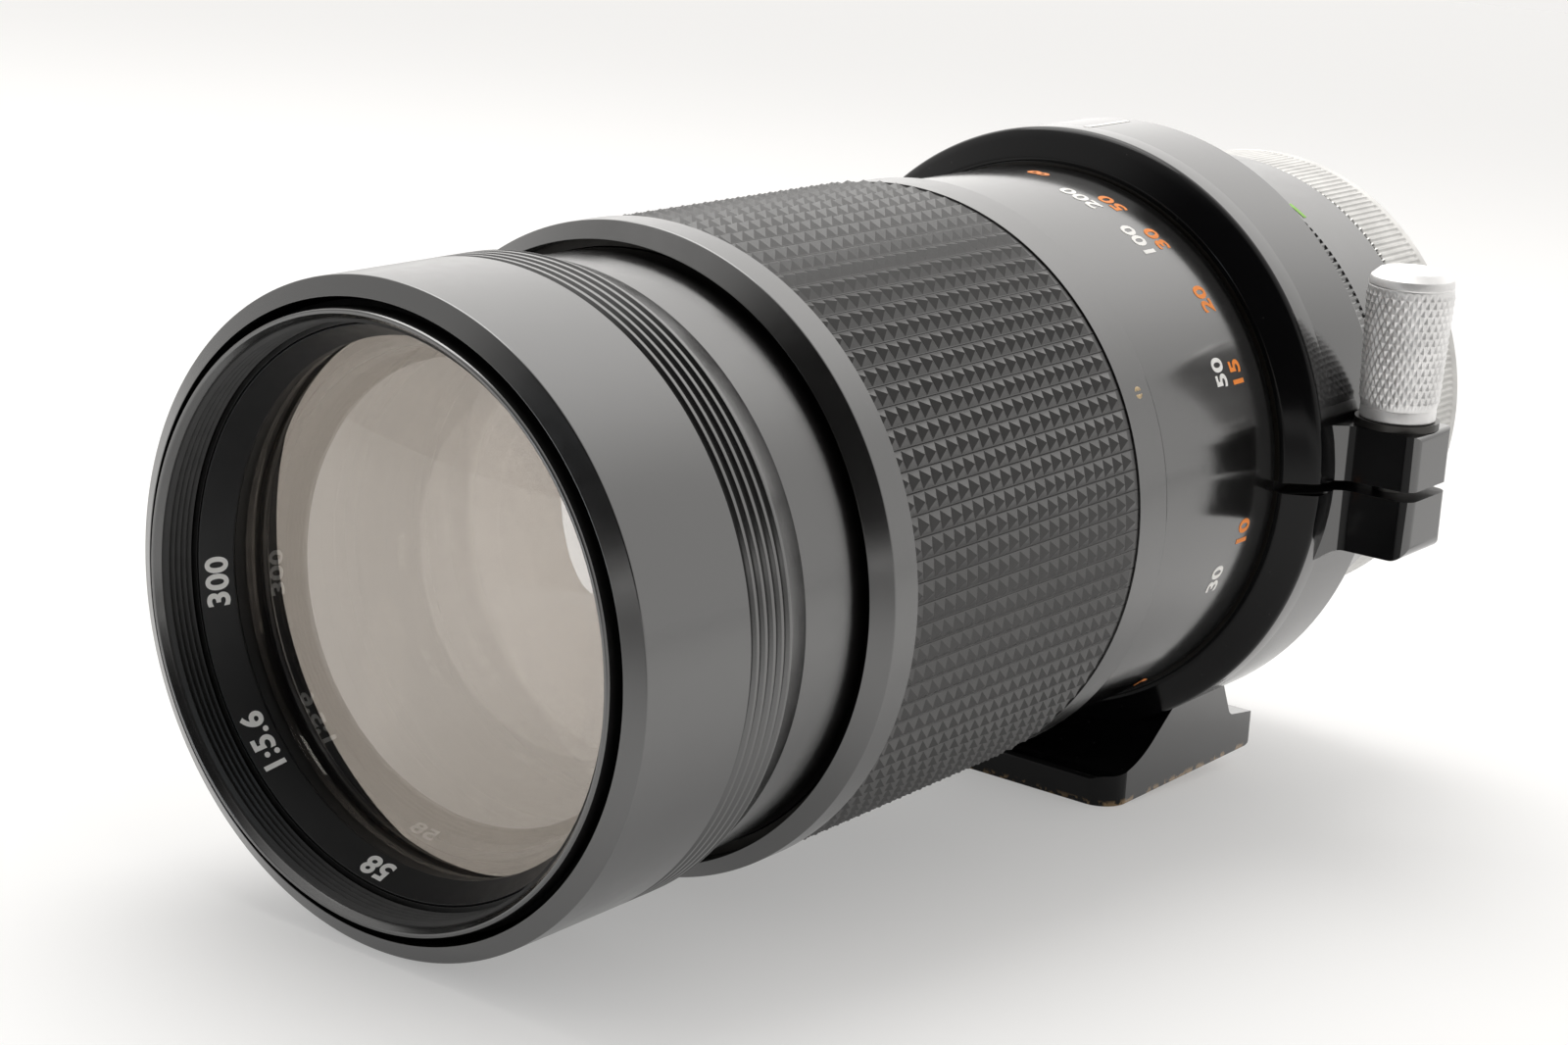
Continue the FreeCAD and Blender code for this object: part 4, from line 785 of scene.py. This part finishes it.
slope = math.atan2(foot_face - hood_radius, hood_front - foot_front)
hinge_y, hinge_z = -foot_front / 1000, -(foot_face + table_gap) / 1000
corner_signs = ((-1, -1), (-1, 1), (1, 1), (1, -1))
floor_mesh.from_pydata([(x * half_size, hinge_y - y * half_size * math.cos(slope),
                         hinge_z + y * half_size * math.sin(slope)) for x, y in corner_signs],
                       [], [(0, 1, 2, 3)])
floor = bpy.data.objects.new("table_top", floor_mesh)
bpy.context.scene.collection.objects.link(floor)
floor_mesh.materials.append(table)

# Each side of the room: its direction, the cosines between which it sets in, and the strengths that it
# multiplies the room by before and after them.
dim_side = ((0.42, -0.78, 0.46), 0.60, 0.90, 1.0, 0.04)
bright_side = ((-0.05, 1.0, 0.05), -0.30, 0.65, 0.72, 1.02)
window_side = ((-0.35, 0.74, 0.57), 0.60, 0.98, 1.0, 1.85)
room_colour, backdrop_colour = (1.0, 0.985, 0.965, 1), (0.90, 0.885, 0.87, 1)
world = bpy.data.worlds.new("studio")
bpy.context.scene.world = world
world.use_nodes = True
sky = world.node_tree
for old in list(sky.nodes):
    sky.nodes.remove(old)
direction = add_node(sky, "TexCoord", {}).outputs["Generated"]
strength = 1.0
for toward, start, stop, low, high in (dim_side, bright_side, window_side):
    share = add_node(sky, "VectorMath", {0: direction, 1: toward}, operation="DOT_PRODUCT").outputs["Value"]
    fade = add_node(sky, "MapRange", {"Value": share, "From Min": start, "From Max": stop, "To Min": low,
                                      "To Max": high}, interpolation_type="SMOOTHSTEP").outputs["Result"]
    strength = add_node(sky, "Math", {0: strength, 1: fade}, operation="MULTIPLY").outputs["Value"]
room = add_node(sky, "Background", {"Color": room_colour, "Strength": strength})
backdrop = add_node(sky, "Background", {"Color": backdrop_colour})
paths = add_node(sky, "LightPath", {})
choice = add_node(sky, "MixShader", {"Fac": paths.outputs["Is Camera Ray"], 1: room.outputs["Background"],
                                     2: backdrop.outputs["Background"]})
add_node(sky, "OutputWorld", {"Surface": choice.outputs["Shader"]})


def soft_lamp(name, place, aim, width, height, power, colour, roll=0.0):
    """Oval lamp at place, turned to face aim and rolled about that line, in metres, watts and degrees."""
    lamp = bpy.data.lights.new(name, "AREA")
    lamp.shape = "ELLIPSE"
    lamp.size = width
    lamp.size_y = height
    lamp.energy = power
    lamp.color = colour
    holder = bpy.data.objects.new(name, lamp)
    bpy.context.scene.collection.objects.link(holder)
    holder.location = place
    holder.rotation_euler = (Vector(aim) - Vector(place)).to_track_quat("-Z", "Y").to_euler()
    holder.rotation_euler.rotate_axis("Z", math.radians(roll))


soft_lamp("softbox_above", (-0.35, 0.1, 0.9), (0, -0.1, 0), 0.8, 0.8, 5.0, (1.0, 0.99, 0.97))
soft_lamp("lamp_in_front", (-0.009, -0.33, 0.034), (0.015, -0.165, 0.0), 0.034, 0.11, 0.031,
          (0.86, 0.93, 1.0), 12.0)

camera_data = bpy.data.cameras.new("camera")
camera_data.lens = 68.32
camera_data.sensor_width = 36.0
camera_data.clip_start = 0.01
camera = bpy.data.objects.new("camera", camera_data)
bpy.context.scene.collection.objects.link(camera)
right = Vector((0.7896, 0.6113, 0.0532)).normalized()
look = Vector((-0.5785, 0.7706, -0.2675)).normalized()
up = right.cross(look)
stand = Vector((0.1923, -0.3639, 0.0871))
turned_to = Matrix((right, up, -look)).transposed().to_4x4()
camera.matrix_world = Matrix.Translation(stand) @ turned_to
bpy.context.scene.camera = camera
bpy.context.scene.view_settings.view_transform = "Standard"
